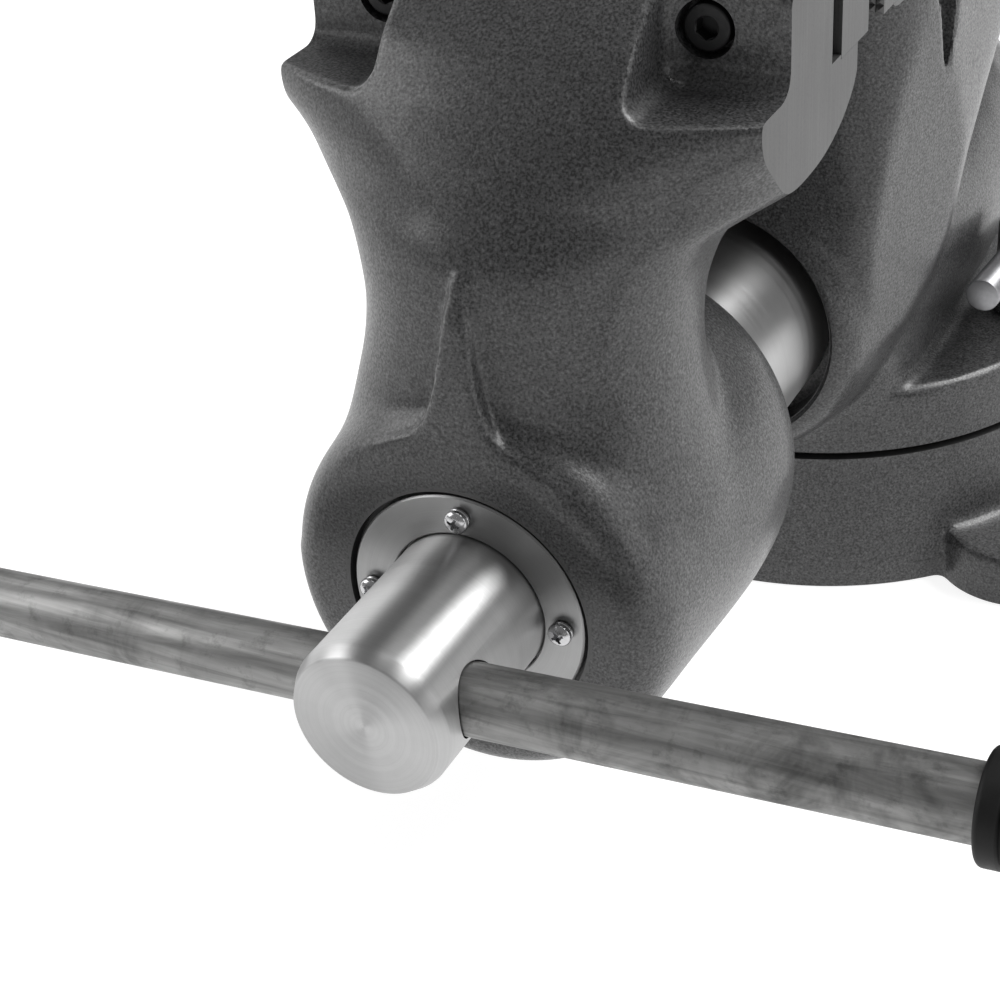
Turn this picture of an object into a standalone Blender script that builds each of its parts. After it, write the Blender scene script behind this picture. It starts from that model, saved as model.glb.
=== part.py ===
"""Bench vise with an enclosed round slide bar, a swivel base and a sliding spindle handle.

Every physical piece is its own closed solid.  Positions are in metres, +Z is up, the origin is the
middle of the base's underside on the swivel axis, and the front of the vise looks along -Y.
The tables of dimensions are written in millimetres and are turned into metres by MM.
"""
import math

import bmesh
import bpy
from mathutils import Matrix, Vector

MM = 0.001
GAP = 0.3                      # running gap between touching pieces

# --- main stations, millimetres -------------------------------------------------------------
SPINDLE_Z = 110.5              # height of the spindle and slide-bar axis
PLATE_Y = -296.5               # front face of the retaining plate
BARREL_REAR_Y = -176.5         # rear end of the front jaw's barrel
COLLAR_Y = -118.8              # front end of the rear body's bore
JAW_WIDTH = 139.7
JAW_TOP_Z = 280.5
INSERT_BOTTOM_Z = 241.0
FRONT_FACE_Y = -171.0          # gripping face of the front jaw
REAR_FACE_Y = -159.1           # gripping face of the rear jaw
INSERT_DEPTH = 23.3
OUTSIDE_X = -0.8               # the outside of the front casting sits slightly off its bore
MIRROR_Y = (FRONT_FACE_Y + REAR_FACE_Y) / 2
JAW_SCREW_X = 46.9
JAW_SCREW_Z = 260.6
POCKET_FLOOR_Y = -233.1
LEDGE_Z = 245.4
RIB_HALF_WIDTH = 36.0
FACE_SETBACK = 9.5             # casting below an insert, behind the gripping face
RELIEF_WIDTH = 11.5            # notch behind each end of an insert
RELIEF_DEPTH = 7.3
RELIEF_RISE = 1.3              # floor of the notch above the insert's underside
JAW_SCREW_R = 4.0
JAW_SCREW_HEAD_R = 6.5
JAW_SCREW_HEAD_DEPTH = 7.9
JAW_SCREW_LENGTH = 53.5
CLEAR = 200.0                  # far enough for a cutter to end outside the casting

# --- slide bar, spindle and nut --------------------------------------------------------------
SLIDE_BAR_R = 38.1
SLIDE_BAR_BORE_R = 29.0
SLIDE_BAR_REAR_Y = 65.5
BODY_BORE_R = SLIDE_BAR_R + 0.1
CORE_R = 46.0                  # cast relief of the body's bore between its two guides
THREAD_R = 14.0
THREAD_END_Y = 33.5
JOURNAL_R = 16.0
COLLAR_R = 26.5
COLLAR_START = 4.6             # stations along the spindle, measured behind the plate face
COLLAR_END = 14.0
CHAMBER_END = 18.0
JOURNAL_END = 28.0
SOCKET_START = 40.0
SOCKET_FRONT_Y = PLATE_Y + SOCKET_START
HEAD_R = 23.38
HEAD_FRONT_Y = -354.7
NUT_R = 26.0
NUT_FRONT_Y = -146.5
NUT_REAR_Y = 93.2
NUT_FLANGE_R = 35.0
TAIL_WALL_Y = 93.5
TAIL_SEAT_Y = 108.0            # floor of the counterbore for the nut's screw
NUT_SCREW_R = 5.9
DOWEL_R = 3.0
DOWEL_RISE = 28.0              # dowel above the spindle axis

# --- retaining plate -------------------------------------------------------------------------
PLATE_R = 35.9
PLATE_THICK = 4.0
PLATE_RECESS_R = 37.3
PLATE_SCREW_CIRCLE_R = 29.6
PLATE_SCREW_R = 2.0
PLATE_SCREW_HEAD_R = 3.5

# --- handle ----------------------------------------------------------------------------------
HANDLE_Y = -334.8
HANDLE_R = 9.96
HANDLE_TILT = math.radians(3.75)
HANDLE_HALF = 176.0
CAP_INNER = 157.5
CAP_R = 14.6

# --- turntable and swivel base ---------------------------------------------------------------
TURNTABLE_R = 98.0
TURNTABLE_BOTTOM_Z = 50.4
TURNTABLE_TOP_Z = 75.5
BASE_TOP_Z = 50.0
BASE_TOP_R = 98.0
BASE_FOOT_R = 105.6
PIVOT_R = 25.0
PIVOT_TOP_Z = 58.0
LUG_ANGLES = (-30.0, 90.0, 210.0)
LUG_OUT = 113.0                # distance of a lug's centre from the swivel axis
LUG_FOOT_R = 30.0
LUG_TOP_R = 29.0
LUG_THICK = 18.0
LUG_HOLE_OUT = 124.0
LUG_HOLE_R = 7.0

# --- key under the slide bar -----------------------------------------------------------------
KEY_Y = -106.0
KEY_HALF_WIDTH = 4.9
KEY_HALF_LENGTH = 9.0
KEY_BOTTOM_Z = 63.3
KEY_SEAT_Z = 59.0              # the key screw's head bears upward here
KEY_SCREW_R = 3.0
KEYWAY_TOP_Z = SPINDLE_Z - 33.8

# --- swivel locks ----------------------------------------------------------------------------
LOCK_X = 79.0
STUD_BOTTOM_Z = 28.0
STUD_TOP_Z = 94.0
LOCK_NUT_TOP_Z = 110.5
SPOT_FACE_R = 15.0
SLOT_HALF_WIDTH = 7.5
CHANNEL_HALF_WIDTH = 13.0
CHANNEL_BOTTOM_Z = 22.0
CHANNEL_TOP_Z = 38.0
STUD_R = 6.0
LOCK_NUT_R = 11.5
LEVER_R = 6.0
LEVER_Z = 102.2
LEVER_LENGTH = 50.1
LEVER_TOE_IN = math.radians(4.1)

# Turned outline of the front jaw's barrel: (distance behind the plate face, radius).
FRONT_BARREL = [
    (-0.4, 0.0), (-0.4, 49.0), (1.5, 53.5), (5.0, 56.8), (10.0, 58.6), (18.0, 59.4), (28.0, 59.8),
    (40.0, 60.2), (52.0, 60.8), (65.0, 61.4), (80.0, 61.8), (92.0, 61.2), (102.0, 59.6), (110.0, 57.0),
    (116.0, 53.2), (119.3, 48.0), (120.0, 44.0), (120.0, 0.0),
]

# Turned outline of the rear body's barrel: (Y, radius).
REAR_BARREL = [
    (-118.8, 0.0), (-118.8, 46.0), (-117.0, 49.5), (-112.0, 52.3), (-100.0, 54.2), (-85.0, 55.4),
    (-70.0, 57.2), (-50.0, 59.6), (-25.0, 62.3), (0.0, 63.8), (25.0, 63.8), (50.0, 61.8), (72.0, 57.6),
    (92.0, 50.0), (106.0, 41.0), (115.0, 30.0), (119.2, 20.0), (120.0, 14.0), (120.0, 0.0),
]

# Levels of a casting: (height over the spindle axis, half width, front, widest station, rear,
# front squareness, rear squareness).  The front jaw's are measured behind the plate face.
FRONT_NECK = [
    (5.0, 60.0, 12.0, 50.0, 102.0, 2.2, 2.2), (20.0, 58.0, 7.0, 46.0, 99.0, 2.5, 2.2),
    (35.0, 53.0, 5.5, 45.0, 97.0, 2.7, 2.2), (50.0, 48.8, 6.0, 46.0, 95.0, 2.6, 2.3),
    (65.0, 46.3, 7.5, 49.0, 94.0, 2.3, 2.4), (78.0, 46.3, 8.0, 53.0, 94.5, 2.2, 2.5),
    (90.0, 49.5, 8.5, 55.0, 97.0, 2.1, 2.8), (99.0, 55.0, 10.0, 60.0, 99.5, 2.0, 3.0),
    (104.0, 64.0, 12.0, 68.0, 103.0, 1.9, 3.2), (108.0, 72.5, 14.0, 75.0, 107.0, 1.8, 3.6),
    (112.0, 75.5, 16.0, 76.0, 112.0, 1.8, 5.0), (118.0, 78.5, 18.5, 76.0, 116.5, 1.9, 7.0),
    (126.0, 87.0, 23.0, 75.0, 118.5, 2.0, 9.0), (135.0, 96.0, 28.0, 75.0, 118.5, 2.0, 10.0),
    (148.5, 95.0, 38.5, 80.0, 118.5, 2.0, 10.0), (157.0, 95.0, 49.0, 85.0, 118.5, 2.0, 10.0),
    (165.0, 95.0, 61.0, 90.0, 118.5, 2.0, 10.0), (174.0, 95.0, 74.0, 100.0, 118.5, 2.0, 10.0),
]
# Raised face round the plate and the tongue that runs up the neck from it.
TONGUE = [
    (34.0, 42.0, 1.6, 12.0, 60.0, 9.0, 2.0), (41.0, 35.0, 1.0, 12.0, 60.0, 12.0, 2.0),
    (46.0, 28.5, 0.5, 12.0, 60.0, 14.0, 2.0), (50.0, 20.0, 0.2, 12.0, 60.0, 14.0, 2.0),
    (53.0, 13.5, 0.2, 12.0, 60.0, 14.0, 2.0), (57.0, 10.0, 0.1, 12.0, 60.0, 14.0, 2.0),
    (65.0, 7.0, 0.7, 12.0, 60.0, 14.0, 2.0), (75.0, 5.2, 2.0, 14.0, 60.0, 12.0, 2.0),
    (86.0, 3.8, 4.0, 16.0, 60.0, 8.0, 2.0), (98.0, 2.0, 7.8, 18.0, 60.0, 4.0, 2.0),
]

# Rear body's block under the rear jaw, in the same terms but with Y itself.
REAR_BLOCK = [
    (-8.0, 57.0, -108.0, -84.0, -20.0, 3.6, 3.0), (6.0, 62.0, -112.0, -86.0, -14.0, 3.8, 3.0),
    (20.0, 66.0, -115.0, -86.0, -12.0, 4.0, 3.0), (45.0, 69.0, -117.0, -84.0, -4.0, 4.2, 3.0),
    (75.0, 68.5, -118.0, -66.0, 20.0, 4.2, 4.5), (100.0, 67.5, -118.5, -60.0, 42.0, 4.2, 6.0),
    (134.0, 66.5, -119.0, -60.0, 42.0, 4.2, 6.0),
]
# Rear jaw's head, in the front jaw's terms: a short flare, then the front jaw's own levels.
REAR_HEAD = [(128.0, 70.0, 24.0, 75.0, 118.5, 2.0, 9.0)] + FRONT_NECK[13:]
# Foot that carries the body down on to its turntable.
FOOT = [
    (-40.0, 57.0, -92.0, -40.0, 74.0, 5.0, 3.0), (-20.0, 56.0, -92.0, -40.0, 72.0, 5.0, 3.0),
    (-4.0, 56.0, -92.0, -40.0, 72.0, 5.0, 3.0),
]
ANVIL_BLOCK = [
    (-5.0, 50.0, -60.0, 3.0, 66.0, 3.0, 3.0), (40.0, 50.0, -60.0, -1.0, 58.0, 3.5, 3.5),
    (75.0, 44.0, -60.0, -7.0, 46.0, 4.5, 4.0), (98.0, 46.0, -60.0, -8.0, 44.0, 6.0, 6.0),
    (120.0, 47.0, -60.0, -8.0, 44.0, 8.0, 8.0),
]
ANVIL_TOP_Z = 226.0
FLAT_BOTTOM_Z = LEDGE_Z - 40.0
REAR_FLAT_BOTTOM_Z = SPINDLE_Z + 127.0
SPLAY_FRONT_X = 54.0           # where a splayed side of the block starts at the front
SPLAY_FRONT_Y = -119.0
SPLAY_TURN = math.radians(13.5)
SPLAY_LEAN = math.radians(5.0)
GROOVE_HEIGHT = 2.3            # shadow groove between the turntable and the base
GROOVE_DEPTH = 3.0

FACET_TURN = 0.11              # turns the facets of plain round bars, so that no corners coincide
LEVEL_POINTS = 40
CASTING_VOXEL = 3.2
CASTING_SMOOTH_STEPS = 6
FRONT_JAW_FACES = 1900
REAR_BODY_FACES = 2100


# --- scene and materials ---------------------------------------------------------------------
def clear_scene():
    """Remove everything that is in the file already."""
    for obj in list(bpy.data.objects):
        bpy.data.objects.remove(obj, do_unlink=True)
    for mesh in list(bpy.data.meshes):
        bpy.data.meshes.remove(mesh)


def make_collection(name):
    """A collection linked to the scene."""
    collection = bpy.data.collections.new(name)
    bpy.context.scene.collection.children.link(collection)
    return collection


def make_material(name, colour, metallic, roughness):
    """A plain Principled material."""
    material = bpy.data.materials.new(name)
    material.use_nodes = True
    shader = material.node_tree.nodes["Principled BSDF"]
    shader.inputs["Base Color"].default_value = (*colour, 1.0)
    shader.inputs["Metallic"].default_value = metallic
    shader.inputs["Roughness"].default_value = roughness
    material.diffuse_color = (*colour, 1.0)
    return material


# --- solids ----------------------------------------------------------------------------------
def link_mesh(name, bm, collection):
    """Turn a finished bmesh into an object in the collection."""
    mesh = bpy.data.meshes.new(name)
    bm.to_mesh(mesh)
    bm.free()
    obj = bpy.data.objects.new(name, mesh)
    collection.objects.link(obj)
    return obj


def placed_along(axis, centre, turn=0.0):
    """Matrix that stands a Z-up shape on a centre (millimetres) with its axis along another."""
    swing = Vector(axis).to_track_quat("Z", "Y").to_matrix().to_4x4()
    return Matrix.Translation(Vector(centre) * MM) @ swing @ Matrix.Rotation(turn, 4, "Z")


def box(name, low, high, collection):
    """A rectangular block from its two corners."""
    bm = bmesh.new()
    bmesh.ops.create_cube(bm, size=1.0)
    bmesh.ops.scale(bm, vec=(Vector(high) - Vector(low)) * MM, verts=bm.verts)
    bmesh.ops.translate(bm, vec=(Vector(high) + Vector(low)) * (MM / 2), verts=bm.verts)
    return link_mesh(name, bm, collection)


def rod(name, start, end, radius, centre, axis, segments, collection):
    """A plain round bar between two distances along the axis."""
    bm = bmesh.new()
    bmesh.ops.create_cone(bm, cap_ends=True, segments=segments, radius1=radius * MM,
                          radius2=radius * MM, depth=(end - start) * MM)
    bmesh.ops.translate(bm, vec=(0, 0, (start + end) * MM / 2), verts=bm.verts)
    bm.transform(placed_along(axis, centre, FACET_TURN))
    return link_mesh(name, bm, collection)


def turned(name, outline, centre, axis, segments, collection):
    """A turned solid: a Screw modifier on the outline, (distance along the axis, radius) points.

    The outline starts and ends on the axis, or is a loop that is clear of it.
    """
    points = [(radius * MM, 0.0, distance * MM) for distance, radius in reversed(outline)]
    edges = [(step, step + 1) for step in range(len(points) - 1)
             if points[step][0] > 0 or points[step + 1][0] > 0]
    if outline[0][1] > 0:
        edges.append((len(points) - 1, 0))
    mesh = bpy.data.meshes.new(name)
    mesh.from_pydata(points, edges, [])
    obj = bpy.data.objects.new(name, mesh)
    collection.objects.link(obj)
    screw = obj.modifiers.new("turn", "SCREW")
    screw.steps = segments
    screw.render_steps = segments
    screw.use_merge_vertices = True
    screw.merge_threshold = 0.00001
    apply_modifiers(obj)
    obj.data.transform(placed_along(axis, centre))
    return obj


def tube(name, start, end, inner, outer, centre, axis, segments, collection):
    """A plain tube or washer."""
    return turned(name, [(start, inner), (start, outer), (end, outer), (end, inner)],
                  centre, axis, segments, collection)


def section(level):
    """One level of a casting: a rounded oblong that can be squarer behind than in front."""
    height, half_width, front, widest, rear, front_power, rear_power = level
    points = []
    for step in range(LEVEL_POINTS):
        angle = 2 * math.pi * (step + 0.5) / LEVEL_POINTS
        across = math.cos(angle)
        behind = math.sin(angle)
        power = 2 / (rear_power if behind > 0 else front_power)
        reach = rear - widest if behind > 0 else widest - front
        x = half_width * math.copysign(abs(across) ** power, across)
        y = widest + reach * math.copysign(abs(behind) ** power, behind)
        points.append(Vector((x, y, height)))
    return points


def lofted(name, levels, y_shift, mirror, collection):
    """A solid bridged through a stack of levels, reflected about the line between the jaws if asked."""
    bm = bmesh.new()
    loops = []
    for level in levels:
        places = [(p.x, reflect(p.y + y_shift, mirror), p.z + SPINDLE_Z) for p in section(level)]
        corners = [bm.verts.new(Vector(place) * MM) for place in places]
        loops.append([bm.edges.new(pair) for pair in zip(corners, corners[1:] + corners[:1])])
    for below, above in zip(loops, loops[1:]):
        bmesh.ops.bridge_loops(bm, edges=below + above)
    bmesh.ops.holes_fill(bm, edges=loops[0] + loops[-1], sides=LEVEL_POINTS)
    bmesh.ops.recalc_face_normals(bm, faces=bm.faces)
    return link_mesh(name, bm, collection)


# --- working on solids -----------------------------------------------------------------------
def apply_modifiers(obj):
    """Replace the object's mesh with the result of its modifiers."""
    graph = bpy.context.evaluated_depsgraph_get()
    mesh = bpy.data.meshes.new_from_object(obj.evaluated_get(graph))
    obj.modifiers.clear()
    obj.data = mesh


def combine(target, tools, operation):
    """Boolean the tools into the target and remove them."""
    for tool in tools:
        modifier = target.modifiers.new(tool.name, "BOOLEAN")
        modifier.operation = operation
        modifier.solver = "EXACT"
        modifier.object = tool
        apply_modifiers(target)
    for tool in tools:
        bpy.data.objects.remove(tool, do_unlink=True)


def cut(target, tools):
    """Take the tools away from the target."""
    combine(target, tools, "DIFFERENCE")


def join(target, tools):
    """Add the tools to the target."""
    combine(target, tools, "UNION")


def blend_casting(obj, faces):
    """Round a rough union the way a sand casting is rounded, then thin it out."""
    remesh = obj.modifiers.new("skin", "REMESH")
    remesh.mode = "VOXEL"
    remesh.voxel_size = CASTING_VOXEL * MM
    smooth = obj.modifiers.new("fillets", "SMOOTH")
    smooth.factor = 0.5
    smooth.iterations = CASTING_SMOOTH_STEPS
    apply_modifiers(obj)
    triangles = sum(len(polygon.vertices) - 2 for polygon in obj.data.polygons)
    thin = obj.modifiers.new("thin", "DECIMATE")
    thin.ratio = faces / triangles
    thin.use_collapse_triangulate = True
    apply_modifiers(obj)


def clean(obj):
    """Merge stray points, drop slivers and keep the shell closed with its normals outward."""
    bm = bmesh.new()
    bm.from_mesh(obj.data)
    bmesh.ops.remove_doubles(bm, verts=bm.verts, dist=0.00002)
    bmesh.ops.dissolve_degenerate(bm, dist=0.00002, edges=bm.edges)
    bmesh.ops.triangulate(bm, faces=bm.faces)
    bmesh.ops.recalc_face_normals(bm, faces=bm.faces)
    bm.to_mesh(obj.data)
    bm.free()


def finish(obj, material, pivot=(0.0, 0.0, 0.0), smooth_angle=35.0):
    """Give a node its material, its origin and its shading."""
    offset = Vector(pivot) * MM
    obj.data.transform(Matrix.Translation(-offset))
    obj.location = offset
    obj.data.materials.clear()
    obj.data.materials.append(material)
    for polygon in obj.data.polygons:
        polygon.use_smooth = True
        polygon.material_index = 0
    obj.data.set_sharp_from_angle(angle=math.radians(smooth_angle))
    return obj


# --- swivel base -----------------------------------------------------------------------------
def swivel_base(nodes, cutters, material):
    """Cast base: dished foot, undercut ring slot for the lock studs, pivot boss and three lugs."""
    outline = [
        (0.0, 0.0), (0.0, BASE_FOOT_R), (6.0, BASE_FOOT_R), (BASE_TOP_Z - 2, BASE_TOP_R + 0.4),
        (BASE_TOP_Z, BASE_TOP_R - 1.6), (BASE_TOP_Z, PIVOT_R), (PIVOT_TOP_Z - 1, PIVOT_R),
        (PIVOT_TOP_Z, PIVOT_R - 1), (PIVOT_TOP_Z, 0.0),
    ]
    base = turned("swivel_base", outline, (0, 0, 0), (0, 0, 1), 50, nodes)
    join(base, [lug("lug", angle, cutters) for angle in LUG_ANGLES])
    slot = tube("slot", CHANNEL_TOP_Z - 1, BASE_TOP_Z + 5, LOCK_X - SLOT_HALF_WIDTH,
                LOCK_X + SLOT_HALF_WIDTH, (0, 0, 0), (0, 0, 1), 40, cutters)
    channel = tube("channel", CHANNEL_BOTTOM_Z, CHANNEL_TOP_Z, LOCK_X - CHANNEL_HALF_WIDTH,
                   LOCK_X + CHANNEL_HALF_WIDTH, (0, 0, 0), (0, 0, 1), 44, cutters)
    entry = rod("entry", CHANNEL_BOTTOM_Z + 0.5, BASE_TOP_Z + 5, CHANNEL_HALF_WIDTH - 0.2,
                (0, LOCK_X, 0), (0, 0, 1), 18, cutters)
    dish = turned("dish", [(-5, 42), (-5, 91), (8, 89), (12, 84), (12, 48), (8, 43)],
                  (0, 0, 0), (0, 0, 1), 36, cutters)
    cut(base, [slot, channel, entry, dish])
    for angle in LUG_ANGLES:
        turn = math.radians(angle)
        spot = (LUG_HOLE_OUT * math.cos(turn), LUG_HOLE_OUT * math.sin(turn), 0)
        bolt_hole = rod("bolt_hole", -5, LUG_THICK + 5, LUG_HOLE_R, spot, (0, 0, 1), 16, cutters)
        cut(base, [bolt_hole])
    clean(base)
    finish(base, material)


def lug(name, angle, collection):
    """One round bolt lug with drafted sides, standing out from the foot at an angle about the base."""
    turn = math.radians(angle)
    bm = bmesh.new()
    bmesh.ops.create_cone(bm, cap_ends=True, segments=28, radius1=LUG_FOOT_R * MM, radius2=LUG_TOP_R * MM,
                          depth=LUG_THICK * MM)
    spot = Vector((LUG_OUT * math.cos(turn), LUG_OUT * math.sin(turn), LUG_THICK / 2))
    bmesh.ops.translate(bm, vec=spot * MM, verts=bm.verts)
    piece = link_mesh(name, bm, collection)
    bevel = piece.modifiers.new("edge", "BEVEL")
    bevel.width = 0.0015
    bevel.segments = 1
    bevel.limit_method = "ANGLE"
    bevel.angle_limit = math.radians(60)
    apply_modifiers(piece)
    return piece


# --- jaws ------------------------------------------------------------------------------------
def reflect(y, mirror):
    """Y on the front jaw, or its counterpart on the rear jaw."""
    return 2 * MIRROR_Y - y if mirror else y


def jaw_box(name, low, high, mirror, collection):
    """A block stated for the front jaw and reflected for the rear one."""
    near = reflect(low[1], mirror)
    far = reflect(high[1], mirror)
    return box(name, (low[0], min(near, far), low[2]), (high[0], max(near, far), high[2]), collection)


def machine_jaw(casting, mirror, cutters):
    """Side flats, top, insert seat, end reliefs, screw pockets and screw holes of one jaw."""
    half = JAW_WIDTH / 2
    seat_y = FRONT_FACE_Y - INSERT_DEPTH
    direction = (0, -1, 0) if mirror else (0, 1, 0)
    ahead = FRONT_FACE_Y + 30
    behind = FRONT_FACE_Y - CLEAR
    above = JAW_TOP_Z + CLEAR
    flat_bottom = REAR_FLAT_BOTTOM_Z if mirror else FLAT_BOTTOM_Z
    tools = [
        jaw_box("top", (-CLEAR, behind, JAW_TOP_Z), (CLEAR, ahead, above), mirror, cutters),
        jaw_box("seat", (-CLEAR, seat_y, INSERT_BOTTOM_Z), (CLEAR, ahead, above), mirror, cutters),
        jaw_box("face", (-CLEAR, FRONT_FACE_Y - FACE_SETBACK, LEDGE_Z - 55),
                (CLEAR, ahead, INSERT_BOTTOM_Z + 1), mirror, cutters),
    ]
    for sign in (-1, 1):
        flat_x = sorted((half * sign, CLEAR * sign))
        relief_x = sorted(((half - RELIEF_WIDTH) * sign, CLEAR * sign))
        pocket_x = sorted((RIB_HALF_WIDTH * sign, CLEAR * sign))
        spot = (JAW_SCREW_X * sign, reflect(POCKET_FLOOR_Y, mirror), JAW_SCREW_Z)
        tools += [
            jaw_box("flat", (flat_x[0], behind, flat_bottom), (flat_x[1], ahead, above), mirror, cutters),
            jaw_box("relief", (relief_x[0], seat_y - RELIEF_DEPTH, INSERT_BOTTOM_Z + RELIEF_RISE),
                    (relief_x[1], seat_y + 3, above), mirror, cutters),
            jaw_box("pocket", (pocket_x[0], behind, LEDGE_Z), (pocket_x[1], POCKET_FLOOR_Y, above),
                    mirror, cutters),
            rod("counterbore", -6, JAW_SCREW_HEAD_DEPTH + GAP, JAW_SCREW_HEAD_R + 1.5, spot, direction, 18,
                cutters),
            rod("screw_hole", 6, 60, JAW_SCREW_R + 0.4, spot, direction, 12, cutters),
        ]
    cut(casting, tools)


def front_jaw(nodes, cutters, material):
    """Front jaw casting: bulged barrel, waisted neck and jaw head, bored for bar and spindle."""
    casting = turned("front_jaw", FRONT_BARREL, (OUTSIDE_X, PLATE_Y, SPINDLE_Z), (0, 1, 0), 56, nodes)
    join(casting, [lofted("neck", FRONT_NECK, PLATE_Y, False, cutters),
                   lofted("tongue", TONGUE, PLATE_Y, False, cutters)])
    blend_casting(casting, FRONT_JAW_FACES)
    machine_jaw(casting, False, cutters)
    axis_point = (0, PLATE_Y, SPINDLE_Z)
    bore_outline = [
        (-10, 0), (-10, PLATE_RECESS_R), (PLATE_THICK + GAP, PLATE_RECESS_R),
        (PLATE_THICK + GAP, COLLAR_R + 0.5), (CHAMBER_END, COLLAR_R + 0.5),
        (CHAMBER_END, JOURNAL_R + 0.6), (JOURNAL_END + 4, JOURNAL_R + 0.6),
        (JOURNAL_END + 4, SLIDE_BAR_BORE_R), (SOCKET_START, SLIDE_BAR_BORE_R),
        (SOCKET_START, SLIDE_BAR_R + 0.05), (140.0, SLIDE_BAR_R + 0.05), (140.0, 0),
    ]
    bore = turned("bore", bore_outline, axis_point, (0, 1, 0), 40, cutters)
    core = box("core", (-22, PLATE_Y + 33, SPINDLE_Z + 20), (22, PLATE_Y + 68, SPINDLE_Z + 98), cutters)
    cut(casting, [bore, core])
    for x, z in plate_screw_spots():
        hole = rod("tapped_hole", 3, 12, PLATE_SCREW_R + 0.2, (x, PLATE_Y, z), (0, 1, 0), 12, cutters)
        cut(casting, [hole])
    clean(casting)
    finish(casting, material)


def splayed_block(cutters):
    """Block under the rear jaw, with its sides splayed out from the front towards the rear."""
    block = lofted("block", REAR_BLOCK, 0, False, cutters)
    for sign in (-1, 1):
        reach = sorted((0, CLEAR * sign))
        wedge = box("splay", (reach[0], -150, -110), (reach[1], 150, 110), cutters)
        lean = Matrix.Rotation(SPLAY_LEAN * sign, 4, "Y")
        turn = Matrix.Rotation(-SPLAY_TURN * sign, 4, "Z")
        corner = Vector((SPLAY_FRONT_X * sign, SPLAY_FRONT_Y, SPINDLE_Z + 45))
        wedge.data.transform(Matrix.Translation(corner * MM) @ turn @ lean)
        cut(block, [wedge])
    return block


def rear_body(nodes, cutters, material):
    """Rear body casting: turntable, bullet barrel, block under the rear jaw, anvil."""
    casting = turned("rear_body", REAR_BARREL, (0, 0, SPINDLE_Z), (0, 1, 0), 56, nodes)
    table = turned("table", [(TURNTABLE_BOTTOM_Z - 6, 0), (TURNTABLE_BOTTOM_Z - 6, TURNTABLE_R + 0.6),
                             (TURNTABLE_TOP_Z - 2, TURNTABLE_R - 0.6), (TURNTABLE_TOP_Z, TURNTABLE_R - 3),
                             (TURNTABLE_TOP_Z, 0)], (0, 0, 0), (0, 0, 1), 64, cutters)
    head = lofted("head", REAR_HEAD, PLATE_Y, True, cutters)
    foot = lofted("foot", FOOT, 0, False, cutters)
    block = splayed_block(cutters)
    anvil = lofted("anvil", ANVIL_BLOCK, 0, False, cutters)
    join(casting, [table, foot, block, anvil, head])
    blend_casting(casting, REAR_BODY_FACES)
    machine_jaw(casting, True, cutters)
    anvil_top = box("anvil_top", (-80, -62, ANVIL_TOP_Z), (80, 80, 300), cutters)
    underside = box("underside", (-140, -140, 20), (140, 140, TURNTABLE_BOTTOM_Z), cutters)
    pivot = rod("pivot", 40, PIVOT_TOP_Z + GAP, PIVOT_R + 0.1, (0, 0, 0), (0, 0, 1), 36, cutters)
    bore_outline = [
        (-130, 0), (-130, BODY_BORE_R + 5.8), (COLLAR_Y + 0.5, BODY_BORE_R + 3.8),
        (COLLAR_Y + 4.0, BODY_BORE_R), (-75.0, BODY_BORE_R), (-72.0, CORE_R), (70.0, CORE_R),
        (73.0, BODY_BORE_R), (TAIL_WALL_Y, BODY_BORE_R), (TAIL_WALL_Y, NUT_SCREW_R + 0.5),
        (TAIL_SEAT_Y, NUT_SCREW_R + 0.5), (TAIL_SEAT_Y, 11.5), (130.0, 11.5), (130.0, 0),
    ]
    bore = turned("bore", bore_outline, (0, 0, SPINDLE_Z), (0, 1, 0), 40, cutters)
    core = box("core", (-46, -66, SPINDLE_Z + 20), (46, -36, SPINDLE_Z + 92), cutters)
    groove = turned("groove", [(TURNTABLE_BOTTOM_Z - 5, TURNTABLE_R - GROOVE_DEPTH),
                               (TURNTABLE_BOTTOM_Z - 5, CLEAR),
                               (TURNTABLE_BOTTOM_Z + GROOVE_HEIGHT, CLEAR),
                               (TURNTABLE_BOTTOM_Z + GROOVE_HEIGHT, TURNTABLE_R - GROOVE_DEPTH)],
                    (0, 0, 0), (0, 0, 1), 60, cutters)
    cut(casting, [anvil_top, underside, bore, pivot, core, groove])
    for sign in (-1, 1):
        spot = (LOCK_X * sign, 0, 0)
        cut(casting, [rod("spot_face", TURNTABLE_TOP_Z, LOCK_NUT_TOP_Z + 7, SPOT_FACE_R, spot, (0, 0, 1), 32,
                          cutters)])
        cut(casting, [rod("stud_hole", 40, TURNTABLE_TOP_Z + 5, STUD_R + 0.5, spot, (0, 0, 1), 20, cutters)])
    key_seat = box("key_seat", (-KEY_HALF_WIDTH - GAP, KEY_Y - KEY_HALF_LENGTH - GAP, KEY_BOTTOM_Z - GAP),
                   (KEY_HALF_WIDTH + GAP, KEY_Y + KEY_HALF_LENGTH + GAP, SPINDLE_Z - 30), cutters)
    key_bolt = turned("key_bolt", [(40, 0), (40, 5.6), (KEY_SEAT_Z, 5.6), (KEY_SEAT_Z, KEY_SCREW_R + 0.4),
                                   (KEY_BOTTOM_Z + 3, KEY_SCREW_R + 0.4), (KEY_BOTTOM_Z + 3, 0)],
                      (0, KEY_Y, 0), (0, 0, 1), 16, cutters)
    dowel_hole = rod("dowel_hole", 85, 101, DOWEL_R + 0.2, (0, 0, SPINDLE_Z + DOWEL_RISE), (0, 1, 0), 12,
                     cutters)
    cut(casting, [key_seat, key_bolt, dowel_hole])
    clean(casting)
    finish(casting, material)


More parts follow.
